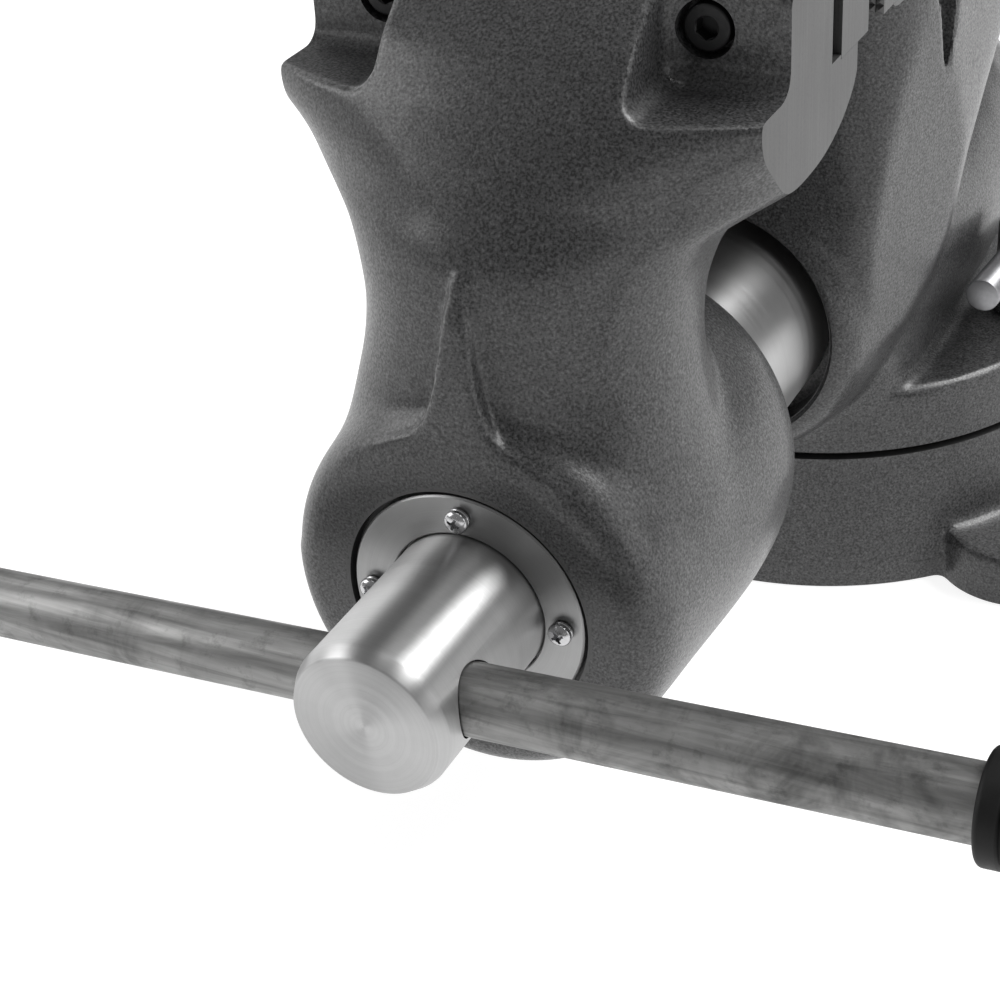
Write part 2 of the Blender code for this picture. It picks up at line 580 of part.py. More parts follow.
def jaw_insert(name, mirror, nodes, cutters, material):
    """Steel jaw insert with two tapped holes in its back."""
    half = JAW_WIDTH / 2
    back = FRONT_FACE_Y - INSERT_DEPTH + GAP
    insert = jaw_box(name, (-half, back, INSERT_BOTTOM_Z + GAP), (half, FRONT_FACE_Y, JAW_TOP_Z),
                     mirror, nodes)
    direction = (0, -1, 0) if mirror else (0, 1, 0)
    for sign in (-1, 1):
        spot = (JAW_SCREW_X * sign, reflect(back, mirror), JAW_SCREW_Z)
        cut(insert, [rod("tapped_hole", -3, 16, JAW_SCREW_R + 0.2, spot, direction, 12, cutters)])
    clean(insert)
    finish(insert, material)


def jaw_screw(name, sign, mirror, nodes, cutters, material):
    """Socket-head screw that holds an insert from the far side of the jaw."""
    direction = (0, -1, 0) if mirror else (0, 1, 0)
    spot = (JAW_SCREW_X * sign, reflect(POCKET_FLOOR_Y, mirror), JAW_SCREW_Z)
    outline = [
        (0.6, 0), (0.6, JAW_SCREW_HEAD_R - 0.7), (1.2, JAW_SCREW_HEAD_R),
        (JAW_SCREW_HEAD_DEPTH, JAW_SCREW_HEAD_R), (JAW_SCREW_HEAD_DEPTH, JAW_SCREW_R),
        (JAW_SCREW_LENGTH - 1.5, JAW_SCREW_R), (JAW_SCREW_LENGTH, JAW_SCREW_R - 1), (JAW_SCREW_LENGTH, 0),
    ]
    screw = turned(name, outline, spot, direction, 16, nodes)
    cut(screw, [rod("socket", -2, 5, 3.3, spot, direction, 6, cutters)])
    clean(screw)
    finish(screw, material)


def slide_bar(nodes, cutters, material):
    """Round hollow bar pressed into the front jaw, with a keyway along its underside."""
    bar = turned("slide_bar", [(SOCKET_FRONT_Y + GAP, SLIDE_BAR_BORE_R), (SOCKET_FRONT_Y + GAP, SLIDE_BAR_R),
                               (SLIDE_BAR_REAR_Y - 1.5, SLIDE_BAR_R), (SLIDE_BAR_REAR_Y, SLIDE_BAR_R - 1.5),
                               (SLIDE_BAR_REAR_Y, SLIDE_BAR_BORE_R)],
                 (0, 0, SPINDLE_Z), (0, 1, 0), 40, nodes)
    keyway = box("keyway", (-KEY_HALF_WIDTH - GAP, -150, 60), (KEY_HALF_WIDTH + GAP, 90, KEYWAY_TOP_Z),
                 cutters)
    cut(bar, [keyway])
    clean(bar)
    finish(bar, material, (0, PLATE_Y, SPINDLE_Z))


def retaining_plate(nodes, cutters, material):
    """Ring that traps the spindle's collar in the front jaw."""
    plate = turned("retaining_plate", [(0, HEAD_R + 0.5), (0, PLATE_R - 0.3), (0.3, PLATE_R),
                                       (PLATE_THICK, PLATE_R), (PLATE_THICK, HEAD_R + 0.5)],
                   (0, PLATE_Y, SPINDLE_Z), (0, 1, 0), 40, nodes)
    for x, z in plate_screw_spots():
        cut(plate, [rod("screw_hole", -3, 9, PLATE_SCREW_R + 0.3, (x, PLATE_Y, z), (0, 1, 0), 12, cutters)])
    clean(plate)
    finish(plate, material)


def plate_screw_spots():
    """Centres (x, z) of the four plate screws: top, right, bottom, left."""
    spots = []
    for step in range(4):
        angle = math.radians(90 - 90 * step)
        spots.append((PLATE_SCREW_CIRCLE_R * math.cos(angle),
                      SPINDLE_Z + PLATE_SCREW_CIRCLE_R * math.sin(angle)))
    return spots


def plate_fasteners(nodes, cutters, material):
    """Four cross-recess pan-head screws, each on a lock washer."""
    for name, (x, z) in zip(("top", "right", "bottom", "left"), plate_screw_spots()):
        spot = (x, PLATE_Y, z)
        washer = tube("plate_washer_" + name, -1.3, -GAP, PLATE_SCREW_R + 0.3, PLATE_SCREW_HEAD_R - 0.2,
                      spot, (0, 1, 0), 12, nodes)
        finish(washer, material)
        screw = turned("plate_screw_" + name,
                       [(-4.2, 0), (-4.1, 1.8), (-3.3, 3.2), (-2.3, PLATE_SCREW_HEAD_R),
                        (-1.6, PLATE_SCREW_HEAD_R), (-1.6, PLATE_SCREW_R), (11.0, PLATE_SCREW_R), (11.0, 0)],
                       spot, (0, 1, 0), 12, nodes)
        cross = box("cross_x", (x - 2.0, PLATE_Y - 6, z - 0.4), (x + 2.0, PLATE_Y - 2.6, z + 0.4), cutters)
        upright = box("cross_z", (x - 0.4, PLATE_Y - 6, z - 2.0), (x + 0.4, PLATE_Y - 2.6, z + 2.0), cutters)
        cut(screw, [cross, upright])
        clean(screw)
        finish(screw, material)


# --- spindle, nut and handle -----------------------------------------------------------------
def spindle(nodes, cutters, material):
    """Spindle in one piece: drilled head, trapped collar, journal and screw."""
    face = HEAD_FRONT_Y - PLATE_Y
    end = THREAD_END_Y - PLATE_Y
    outline = [
        (face, 0), (face, HEAD_R - 2.4), (face + 0.5, HEAD_R - 1.8), (face + 4.2, HEAD_R),
        (COLLAR_START, HEAD_R), (COLLAR_START, COLLAR_R), (COLLAR_END, COLLAR_R),
        (COLLAR_END, JOURNAL_R), (JOURNAL_END, JOURNAL_R), (JOURNAL_END + 3, THREAD_R),
        (end - 2.0, THREAD_R), (end, THREAD_R - 2.0), (end, 0),
    ]
    piece = turned("spindle", outline, (0, PLATE_Y, SPINDLE_Z), (0, 1, 0), 36, nodes)
    direction = (math.cos(HANDLE_TILT), 0, math.sin(HANDLE_TILT))
    cut(piece, [rod("cross_hole", -60, 60, HANDLE_R + 0.5, (0, HANDLE_Y, SPINDLE_Z), direction, 28, cutters)])
    clean(piece)
    finish(piece, material, (0, PLATE_Y, SPINDLE_Z))


def thrust_washer(nodes, material):
    """Bronze washer behind the spindle's collar."""
    washer = tube("thrust_washer", COLLAR_END + GAP, CHAMBER_END - 0.4, JOURNAL_R + 0.4, COLLAR_R - 0.5,
                  (0, PLATE_Y, SPINDLE_Z), (0, 1, 0), 28, nodes)
    finish(washer, material, (0, PLATE_Y, SPINDLE_Z))


def spindle_nut(nodes, cutters, material):
    """Long tubular nut that reaches forward inside the slide bar from the tail."""
    outline = [
        (NUT_FRONT_Y, THREAD_R + 0.2), (NUT_FRONT_Y, NUT_R - 1.5), (NUT_FRONT_Y + 1.5, NUT_R),
        (NUT_REAR_Y - 9, NUT_R), (NUT_REAR_Y - 9, NUT_FLANGE_R), (NUT_REAR_Y, NUT_FLANGE_R),
        (NUT_REAR_Y, NUT_SCREW_R + 0.4), (NUT_REAR_Y - 26, NUT_SCREW_R + 0.4),
        (NUT_REAR_Y - 26, 0), (NUT_REAR_Y - 36, 0),
        (NUT_REAR_Y - 36, THREAD_R + 0.2),
    ]
    nut = turned("spindle_nut", outline, (0, 0, SPINDLE_Z), (0, 1, 0), 28, nodes)
    cut(nut, [rod("dowel_hole", NUT_REAR_Y - 6.5, 110, DOWEL_R + 0.2, (0, 0, SPINDLE_Z + DOWEL_RISE),
                  (0, 1, 0), 12, cutters)])
    clean(nut)
    finish(nut, material)


def nut_fasteners(nodes, cutters, steel, dark):
    """Screw and washer that draw the nut against the tail, and the dowel that stops it turning."""
    centre = (0, 0, SPINDLE_Z)
    seat = TAIL_SEAT_Y + GAP + 1.7
    washer = tube("nut_washer", TAIL_SEAT_Y + GAP, seat, NUT_SCREW_R + 0.6, 11.0, centre, (0, 1, 0), 24,
                  nodes)
    finish(washer, steel)
    outline = [
        (71.0, 0), (71.0, NUT_SCREW_R), (seat + GAP, NUT_SCREW_R), (seat + GAP, 9.5), (seat + 8.5, 9.5),
        (seat + 9.4, 8.6), (seat + 9.4, 0),
    ]
    screw = turned("nut_screw", outline, centre, (0, 1, 0), 24, nodes)
    cut(screw, [rod("socket", seat + 4, seat + 15, 5.2, centre, (0, 1, 0), 6, cutters)])
    clean(screw)
    finish(screw, dark)
    dowel = rod("nut_dowel", NUT_REAR_Y - 6, NUT_REAR_Y + 7.3, DOWEL_R, (0, 0, SPINDLE_Z + DOWEL_RISE),
                (0, 1, 0), 12, nodes)
    finish(dowel, steel)


def slide_key(nodes, cutters, steel, dark):
    """Key that keeps the slide bar from turning, and its screw from below."""
    key = box("slide_key", (-KEY_HALF_WIDTH, KEY_Y - KEY_HALF_LENGTH, KEY_BOTTOM_Z),
              (KEY_HALF_WIDTH, KEY_Y + KEY_HALF_LENGTH, KEYWAY_TOP_Z - GAP), nodes)
    spot = (0, KEY_Y, 0)
    tip = KEY_BOTTOM_Z + 7.7
    cut(key, [rod("tapped_hole", KEY_SEAT_Z, tip + 1, KEY_SCREW_R + 0.2, spot, (0, 0, 1), 12, cutters)])
    clean(key)
    finish(key, steel)
    foot = KEY_SEAT_Z - 4.8
    outline = [(foot, 0), (foot, 5.0), (KEY_SEAT_Z - GAP, 5.0), (KEY_SEAT_Z - GAP, KEY_SCREW_R),
               (tip, KEY_SCREW_R), (tip, 0)]
    screw = turned("slide_key_screw", outline, spot, (0, 0, 1), 16, nodes)
    cut(screw, [rod("socket", foot - 4, foot + 2.8, 2.8, spot, (0, 0, 1), 6, cutters)])
    clean(screw)
    finish(screw, dark)


def handle(nodes, bar_material, cap_material):
    """Tommy bar through the spindle head, with a rubber cap on each end."""
    centre = (0, HANDLE_Y, SPINDLE_Z)
    direction = Vector((math.cos(HANDLE_TILT), 0, math.sin(HANDLE_TILT)))
    bar = turned("handle_bar", [(-HANDLE_HALF, 0), (-HANDLE_HALF, HANDLE_R - 1), (-HANDLE_HALF + 1, HANDLE_R),
                                (HANDLE_HALF - 1, HANDLE_R), (HANDLE_HALF, HANDLE_R - 1), (HANDLE_HALF, 0)],
                 centre, direction, 28, nodes)
    finish(bar, bar_material, centre)
    outline = [
        (CAP_INNER, HANDLE_R + GAP), (CAP_INNER, CAP_R - 1.5), (CAP_INNER + 1.5, CAP_R),
        (HANDLE_HALF - 1, CAP_R), (HANDLE_HALF + 2.5, CAP_R - 2.5), (HANDLE_HALF + 4, CAP_R - 6),
        (HANDLE_HALF + 4, 0), (HANDLE_HALF + GAP, 0), (HANDLE_HALF + GAP, HANDLE_R + GAP),
    ]
    for name, sign in (("left", -1), ("right", 1)):
        cap = turned("handle_cap_" + name, outline, centre, direction * sign, 24, nodes)
        finish(cap, cap_material, centre)


# --- swivel locks ----------------------------------------------------------------------------
def swivel_lock(name, sign, nodes, cutters, steel, bright):
    """Stud in the base's ring slot, washer, tall nut and the lever fixed in it."""
    centre = (LOCK_X * sign, 0, 0)
    stud = turned("lock_stud_" + name,
                  [(STUD_BOTTOM_Z, 0), (STUD_BOTTOM_Z, CHANNEL_HALF_WIDTH - 1),
                   (CHANNEL_TOP_Z - GAP, CHANNEL_HALF_WIDTH - 1), (CHANNEL_TOP_Z - GAP, STUD_R),
                   (STUD_TOP_Z - 1, STUD_R), (STUD_TOP_Z, STUD_R - 1), (STUD_TOP_Z, 0)],
                  centre, (0, 0, 1), 18, nodes)
    finish(stud, steel, centre)
    washer = tube("lock_washer_" + name, TURNTABLE_TOP_Z + GAP, TURNTABLE_TOP_Z + 2.8, STUD_R + 0.4,
                  CHANNEL_HALF_WIDTH,
                  centre, (0, 0, 1), 20, nodes)
    finish(washer, steel, centre)
    nut = turned("lock_nut_" + name,
                 [(TURNTABLE_TOP_Z + 3.1, STUD_R + 0.2), (TURNTABLE_TOP_Z + 3.1, LOCK_NUT_R),
                  (LOCK_NUT_TOP_Z - 2, LOCK_NUT_R), (LOCK_NUT_TOP_Z, LOCK_NUT_R - 2), (LOCK_NUT_TOP_Z, 0),
                  (STUD_TOP_Z + 0.5, 0), (STUD_TOP_Z + 0.5, STUD_R + 0.2)],
                 centre, (0, 0, 1), 20, nodes)
    direction = Vector((-math.sin(LEVER_TOE_IN), -math.cos(LEVER_TOE_IN), 0)) * sign
    pivot = (LOCK_X * sign, 0, LEVER_Z)
    cut(nut, [rod("lever_hole", -5.0, 40, LEVER_R + 0.2, pivot, direction, 16, cutters)])
    clean(nut)
    finish(nut, steel, centre)
    lever = turned("lock_lever_" + name,
                   [(-4.5, 0), (-4.5, LEVER_R), (LEVER_LENGTH - 0.8, LEVER_R), (LEVER_LENGTH, LEVER_R - 0.8),
                    (LEVER_LENGTH, 0)], pivot, direction, 16, nodes)
    finish(lever, bright, centre)


# --- assembly --------------------------------------------------------------------------------
def build():
    """Build every node of the vise."""
    clear_scene()
    nodes = make_collection("bench_vise")
    cutters = make_collection("bench_vise_cutters")
    paint = make_material("hammered_paint", (0.055, 0.056, 0.058), 0.0, 0.42)
    machined = make_material("jaw_steel", (0.30, 0.30, 0.31), 1.0, 0.42)
    turned_steel = make_material("turned_steel", (0.56, 0.56, 0.57), 1.0, 0.28)
    raw_bar = make_material("raw_bar_steel", (0.30, 0.30, 0.30), 1.0, 0.48)
    dark = make_material("black_oxide", (0.018, 0.018, 0.019), 0.6, 0.40)
    zinc = make_material("bright_zinc", (0.62, 0.62, 0.63), 1.0, 0.24)
    bronze = make_material("bronze", (0.45, 0.29, 0.12), 1.0, 0.38)
    rubber = make_material("rubber", (0.010, 0.010, 0.011), 0.0, 0.62)

    swivel_base(nodes, cutters, paint)
    rear_body(nodes, cutters, paint)
    front_jaw(nodes, cutters, paint)
    for side, mirror in (("front", False), ("rear", True)):
        jaw_insert(side + "_jaw_insert", mirror, nodes, cutters, machined)
        for name, sign in (("left", -1), ("right", 1)):
            jaw_screw(side + "_jaw_screw_" + name, sign, mirror, nodes, cutters, dark)
    slide_bar(nodes, cutters, turned_steel)
    retaining_plate(nodes, cutters, turned_steel)
    plate_fasteners(nodes, cutters, zinc)
    spindle(nodes, cutters, turned_steel)
    thrust_washer(nodes, bronze)
    spindle_nut(nodes, cutters, bronze)
    nut_fasteners(nodes, cutters, turned_steel, dark)
    slide_key(nodes, cutters, turned_steel, dark)
    handle(nodes, raw_bar, rubber)
    for name, sign in (("left", -1), ("right", 1)):
        swivel_lock(name, sign, nodes, cutters, turned_steel, zinc)
    bpy.data.collections.remove(cutters)


build()
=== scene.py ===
"""Bench vise: fine castings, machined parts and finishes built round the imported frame.

The shapes are worked out in millimetres and turned into metres by MM.  The main stations come
from the frame's own nodes, and +Z is up, with the front of the vise towards -Y.
"""
import math

import bmesh
import bpy
from mathutils import Matrix, Vector


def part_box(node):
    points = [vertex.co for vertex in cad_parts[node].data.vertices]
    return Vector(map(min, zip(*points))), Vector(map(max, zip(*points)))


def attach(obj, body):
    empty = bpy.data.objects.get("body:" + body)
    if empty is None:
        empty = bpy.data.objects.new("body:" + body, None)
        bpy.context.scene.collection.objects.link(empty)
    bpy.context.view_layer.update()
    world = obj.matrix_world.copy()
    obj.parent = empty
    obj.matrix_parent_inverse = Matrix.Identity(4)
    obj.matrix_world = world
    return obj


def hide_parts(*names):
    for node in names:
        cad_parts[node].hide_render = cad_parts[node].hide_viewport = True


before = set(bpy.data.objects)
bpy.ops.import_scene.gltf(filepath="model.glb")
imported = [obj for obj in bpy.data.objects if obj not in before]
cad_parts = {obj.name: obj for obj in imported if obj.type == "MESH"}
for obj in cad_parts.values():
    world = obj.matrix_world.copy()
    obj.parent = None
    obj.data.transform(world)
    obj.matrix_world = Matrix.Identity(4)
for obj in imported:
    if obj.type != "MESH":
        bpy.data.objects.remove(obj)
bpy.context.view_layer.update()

MM = 0.001
GAP = 0.3
SAME_POINT = 0.00001  # metres
Y_AXIS = (0, 1, 0)
Z_AXIS = (0, 0, 1)


def span(node):
    """Lowest and highest corners of a frame node in millimetres."""
    low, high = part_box(node)
    return low / MM, high / MM


# --- stations read from the frame --------------------------------------------------------------
PLATE_LOW, PLATE_HIGH = span("retaining_plate")
INSERT_LOW, INSERT_HIGH = span("front_jaw_insert")
REAR_INSERT_LOW = span("rear_jaw_insert")[0]
BAR_LOW, BAR_HIGH = span("slide_bar")
SPINDLE_LOW, SPINDLE_HIGH = span("spindle")
BODY_LOW = span("rear_body")[0]
NUT_LOW, NUT_HIGH = span("lock_nut_right")
STUD_LOW, STUD_HIGH = span("lock_stud_right")
SCREW_LOW, SCREW_HIGH = span("front_jaw_screw_right")

SPINDLE_Z = (PLATE_LOW.z + PLATE_HIGH.z) / 2
PLATE_Y = PLATE_LOW.y
PLATE_R = (PLATE_HIGH.x - PLATE_LOW.x) / 2
PLATE_THICK = PLATE_HIGH.y - PLATE_LOW.y
JAW_WIDTH = INSERT_HIGH.x - INSERT_LOW.x
JAW_TOP_Z = INSERT_HIGH.z
INSERT_BOTTOM_Z = INSERT_LOW.z - GAP
FRONT_FACE_Y = INSERT_HIGH.y
REAR_FACE_Y = REAR_INSERT_LOW.y
INSERT_DEPTH = INSERT_HIGH.y - INSERT_LOW.y + GAP
MIRROR_Y = (FRONT_FACE_Y + REAR_FACE_Y) / 2
SLIDE_BAR_R = (BAR_HIGH.x - BAR_LOW.x) / 2
HEAD_FRONT_Y = SPINDLE_LOW.y
COLLAR_R = (SPINDLE_HIGH.x - SPINDLE_LOW.x) / 2
JAW_SCREW_X = (SCREW_LOW.x + SCREW_HIGH.x) / 2
JAW_SCREW_Z = (SCREW_LOW.z + SCREW_HIGH.z) / 2
JAW_SCREW_HEAD_R = (SCREW_HIGH.x - SCREW_LOW.x) / 2
POCKET_FLOOR_Y = SCREW_LOW.y - 0.6
LOCK_X = (STUD_LOW.x + STUD_HIGH.x) / 2
LOCK_NUT_TOP_Z = NUT_HIGH.z
TABLE_BOTTOM_Z = BODY_LOW.z

# --- sizes that the frame's boxes do not give --------------------------------------------------
OUTSIDE_X = -0.8
LEDGE_Z = 245.4
RIB_HALF_WIDTH = 36.0
FACE_SETBACK = 9.5
RELIEF_WIDTH = 11.5
RELIEF_DEPTH = 7.3
RELIEF_RISE = 1.3
FACE_BOTTOM_Z = LEDGE_Z - 55.0
JAW_SCREW_R = 4.0
COUNTERBORE_DEPTH = 8.2
COUNTERBORE_R = JAW_SCREW_HEAD_R + 1.5
TOOTH = 2.5
TOOTH_RISE = 0.9
CLEAR = 200.0  # far enough for a cutter to be outside the vise
AHEAD = 30.0   # far enough for a cutter to be past the jaw's face
PLATE_RECESS_R = PLATE_R + 1.4
PLATE_SCREW_CIRCLE_R = 29.6
PLATE_SCREW_R = 2.0
PLATE_SCREW_HEAD_R = 3.5
HEAD_R = 23.38
JOURNAL_R = 16.0
THREAD_R = 14.0
THREAD_DEPTH = 2.6
THREAD_LEAD = 6.35
COLLAR_BACK = 18.0
JOURNAL_BACK = 32.0
SLIDE_BAR_BORE_R = 29.0
SOCKET_START = 40.0
BODY_BORE_R = SLIDE_BAR_R + 0.1
MOUTH_R = SLIDE_BAR_R + 4.6
MOUTH_DEPTH = 16.0
COLLAR_Y = -118.8
FRONT_BEARING_END_Y = -75.0
REAR_BEARING_Y = 73.0
CORE_TAPER = 3.0
CORE_R = 46.0
TAIL_WALL_Y = 93.5
TAIL_SCREW_R = 6.4
TAIL_HEAD_Y = 108.0
TAIL_HEAD_R = 11.5
HANDLE_Y = -334.8
HANDLE_R = 9.96
HANDLE_TILT = math.radians(3.75)
HANDLE_HALF = 176.0
CAP_INNER = 157.5
CAP_R = 14.6
TABLE_R = 98.0
TABLE_TOP_Z = 75.5
BASE_TOP_Z = 50.0
BASE_TOP_R = 98.0
BASE_FOOT_R = 105.6
PIVOT_R = 25.0
PIVOT_TOP_Z = 58.0
LUG_ANGLES = (-30.0, 90.0, 210.0)
LUG_OUT = 113.0
LUG_FOOT_R = 30.0
LUG_TOP_R = 29.0
LUG_THICK = 18.0
LUG_HOLE_OUT = 124.0
LUG_HOLE_R = 7.0
SLOT_HALF_WIDTH = 7.5
CHANNEL_HALF_WIDTH = 13.0
CHANNEL_BOTTOM_Z = 22.0
CHANNEL_TOP_Z = 38.0
STUD_R = 6.0
LOCK_NUT_R = 11.5
SPOT_FACE_R = 15.0
LEVER_R = 6.0
LEVER_Z = 102.2
LEVER_LENGTH = 50.1
LEVER_TOE_IN = math.radians(4.1)
ANVIL_TOP_Z = 226.0
SPLAY_FRONT_X = 54.0
SPLAY_FRONT_Y = -119.0
SPLAY_FRONT_Z = SPINDLE_Z + 45.0
SPLAY_TURN = math.radians(13.5)
SPLAY_LEAN = math.radians(5.0)
FLAT_BOTTOM_Z = LEDGE_Z - 40.0
REAR_FLAT_BOTTOM_Z = SPINDLE_Z + 127.0
NOTCH_Y = -80.0
NOTCH_X = 64.5
NOTCH_BOTTOM_Z = SPINDLE_Z + 83.0
NOTCH_TOP_Z = SPINDLE_Z + 120.0
NOTCH_R = 11.5
GROOVE_HEIGHT = 2.3
SEAM = 0.06
GROOVE_DEPTH = 3.0
POCKET_FILLET = 6.0
ON_PLANE = 0.05
SQUARE_ON = 0.99

# Turned outline of the front jaw's barrel: (distance behind the plate face, radius).
FRONT_BARREL = [
    (-0.4, 0.0), (-0.4, 49.0), (1.5, 53.5), (5.0, 56.8), (10.0, 58.6), (18.0, 59.4), (28.0, 59.8),
    (40.0, 60.2), (52.0, 60.8), (65.0, 61.4), (80.0, 61.8), (92.0, 61.2), (102.0, 59.6), (110.0, 57.0),
    (116.0, 53.2), (119.3, 48.0), (120.0, 44.0), (120.0, 0.0),
]
# Turned outline of the rear body's barrel: (Y, radius).
REAR_BARREL = [
    (-118.8, 0.0), (-118.8, 46.0), (-117.0, 49.5), (-112.0, 52.3), (-100.0, 54.2), (-85.0, 55.4),
    (-70.0, 57.2), (-50.0, 59.6), (-25.0, 62.3), (0.0, 63.8), (25.0, 63.8), (50.0, 61.8), (72.0, 57.6),
    (92.0, 50.0), (106.0, 41.0), (115.0, 30.0), (119.2, 20.0), (120.0, 14.0), (120.0, 0.0),
]
# Levels of a casting: (height over the spindle axis, half width, front, widest station, rear,
# front squareness, rear squareness).  The front jaw's are measured behind the plate face.
FRONT_NECK = [
    (5.0, 60.0, 12.0, 50.0, 102.0, 2.2, 2.2), (20.0, 58.0, 7.0, 46.0, 99.0, 2.5, 2.2),
    (35.0, 53.0, 5.5, 45.0, 97.0, 2.7, 2.2), (50.0, 48.8, 6.0, 46.0, 95.0, 2.6, 2.3),
    (65.0, 46.3, 7.5, 49.0, 94.0, 2.3, 2.4), (78.0, 46.3, 8.0, 53.0, 94.5, 2.2, 2.5),
    (90.0, 49.5, 8.5, 55.0, 97.0, 2.1, 2.8), (99.0, 55.0, 10.0, 60.0, 99.5, 2.0, 3.0),
    (104.0, 64.0, 12.0, 68.0, 103.0, 1.9, 3.2), (108.0, 72.5, 14.0, 75.0, 107.0, 1.8, 3.6),
    (112.0, 75.5, 16.0, 76.0, 112.0, 1.8, 5.0), (118.0, 78.5, 18.5, 76.0, 116.5, 1.9, 7.0),
    (126.0, 87.0, 23.0, 75.0, 118.5, 2.0, 9.0), (135.0, 96.0, 28.0, 75.0, 118.5, 2.0, 10.0),
    (148.5, 95.0, 38.5, 80.0, 118.5, 2.0, 10.0), (157.0, 95.0, 49.0, 85.0, 118.5, 2.0, 10.0),
    (165.0, 95.0, 61.0, 90.0, 118.5, 2.0, 10.0), (174.0, 95.0, 74.0, 100.0, 118.5, 2.0, 10.0),
]
# Raised face round the plate and the tongue that runs up the neck from it.
TONGUE = [
    (34.0, 42.0, 1.6, 12.0, 60.0, 9.0, 2.0), (41.0, 35.0, 1.0, 12.0, 60.0, 12.0, 2.0),
    (46.0, 28.5, 0.5, 12.0, 60.0, 14.0, 2.0), (50.0, 20.0, 0.2, 12.0, 60.0, 14.0, 2.0),
    (53.0, 13.5, 0.2, 12.0, 60.0, 14.0, 2.0), (57.0, 10.0, 0.1, 12.0, 60.0, 14.0, 2.0),
    (65.0, 7.0, 0.7, 12.0, 60.0, 14.0, 2.0), (75.0, 5.2, 2.0, 14.0, 60.0, 12.0, 2.0),
    (86.0, 3.8, 4.0, 16.0, 60.0, 8.0, 2.0), (98.0, 2.0, 7.8, 18.0, 60.0, 4.0, 2.0),
]
# Rear body's block under the rear jaw and its anvil, in the same terms but with Y itself.
REAR_BLOCK = [
    (-8.0, 57.0, -108.0, -84.0, -20.0, 3.6, 3.0), (6.0, 62.0, -112.0, -86.0, -14.0, 3.8, 3.0),
    (20.0, 66.0, -115.0, -86.0, -12.0, 4.0, 3.0), (45.0, 69.0, -117.0, -84.0, -4.0, 4.2, 3.0),
    (75.0, 68.5, -118.0, -66.0, 20.0, 4.2, 4.5), (100.0, 67.5, -118.5, -60.0, 42.0, 4.2, 6.0),
    (134.0, 66.5, -119.0, -60.0, 42.0, 4.2, 6.0),
]
# Rear jaw's head, in the front jaw's terms: a short flare, then the front jaw's own levels.
REAR_HEAD = [(128.0, 70.0, 24.0, 75.0, 118.5, 2.0, 9.0)] + FRONT_NECK[13:]
# Foot that carries the body down on to its turntable.
FOOT = [
    (-40.0, 57.0, -92.0, -40.0, 74.0, 5.0, 3.0), (-20.0, 56.0, -92.0, -40.0, 72.0, 5.0, 3.0),
    (-4.0, 56.0, -92.0, -40.0, 72.0, 5.0, 3.0),
]
ANVIL_BLOCK = [
    (-5.0, 50.0, -60.0, 3.0, 66.0, 3.0, 3.0), (40.0, 50.0, -60.0, -1.0, 58.0, 3.5, 3.5),
    (75.0, 44.0, -60.0, -7.0, 46.0, 4.5, 4.0), (98.0, 46.0, -60.0, -8.0, 44.0, 6.0, 6.0),
    (120.0, 47.0, -60.0, -8.0, 44.0, 8.0, 8.0),
]

# Dished underside of the base: (Z, radius).
BASE_DISH = [(-5, 42), (-5, 91), (8, 89), (12, 84), (12, 48), (8, 43)]

# --- fineness of the castings ------------------------------------------------------------------
LEVEL_POINTS = 96
ROUGH_VOXEL = 1.8
ROUGH_SMOOTH_STEPS = 16
FINE_VOXEL = 1.3
FINE_SMOOTH_STEPS = 3
ROOT_STEPS = 50
FACET_TURN = 0.11


# --- mesh helpers ------------------------------------------------------------------------------
def new_object(name, mesh):
    """An object linked to the scene."""
    obj = bpy.data.objects.new(name, mesh)
    bpy.context.scene.collection.objects.link(obj)
    return obj


def from_bmesh(name, bm):
    """An object made of a finished bmesh."""
    mesh = bpy.data.meshes.new(name)
    bm.to_mesh(mesh)
    bm.free()
    return new_object(name, mesh)


def placed_along(axis, centre, turn=0.0):
    """Matrix that stands a Z-up shape on a centre (millimetres) with its axis along another."""
    swing = Vector(axis).to_track_quat("Z", "Y").to_matrix().to_4x4()
    return Matrix.Translation(Vector(centre) * MM) @ swing @ Matrix.Rotation(turn, 4, "Z")


def apply_modifiers(obj):
    """Replace the object's mesh with the result of its modifiers."""
    graph = bpy.context.evaluated_depsgraph_get()
    mesh = bpy.data.meshes.new_from_object(obj.evaluated_get(graph))
    obj.modifiers.clear()
    obj.data = mesh


def box(name, low, high):
    """A rectangular block from its two corners."""
    bm = bmesh.new()
    bmesh.ops.create_cube(bm, size=1.0)
    bmesh.ops.scale(bm, vec=(Vector(high) - Vector(low)) * MM, verts=bm.verts)
    bmesh.ops.translate(bm, vec=(Vector(high) + Vector(low)) * (MM / 2), verts=bm.verts)
    return from_bmesh(name, bm)


def rod(name, start, end, radius, centre, axis, segments=64, end_radius=None):
    """A plain round bar, or a taper, between two distances along the axis."""
    far = radius if end_radius is None else end_radius
    bm = bmesh.new()
    bmesh.ops.create_cone(bm, cap_ends=True, segments=segments, radius1=radius * MM, radius2=far * MM,
                          depth=(end - start) * MM)
    bmesh.ops.translate(bm, vec=(0, 0, (start + end) * MM / 2), verts=bm.verts)
    bm.transform(placed_along(axis, centre, FACET_TURN))
    return from_bmesh(name, bm)


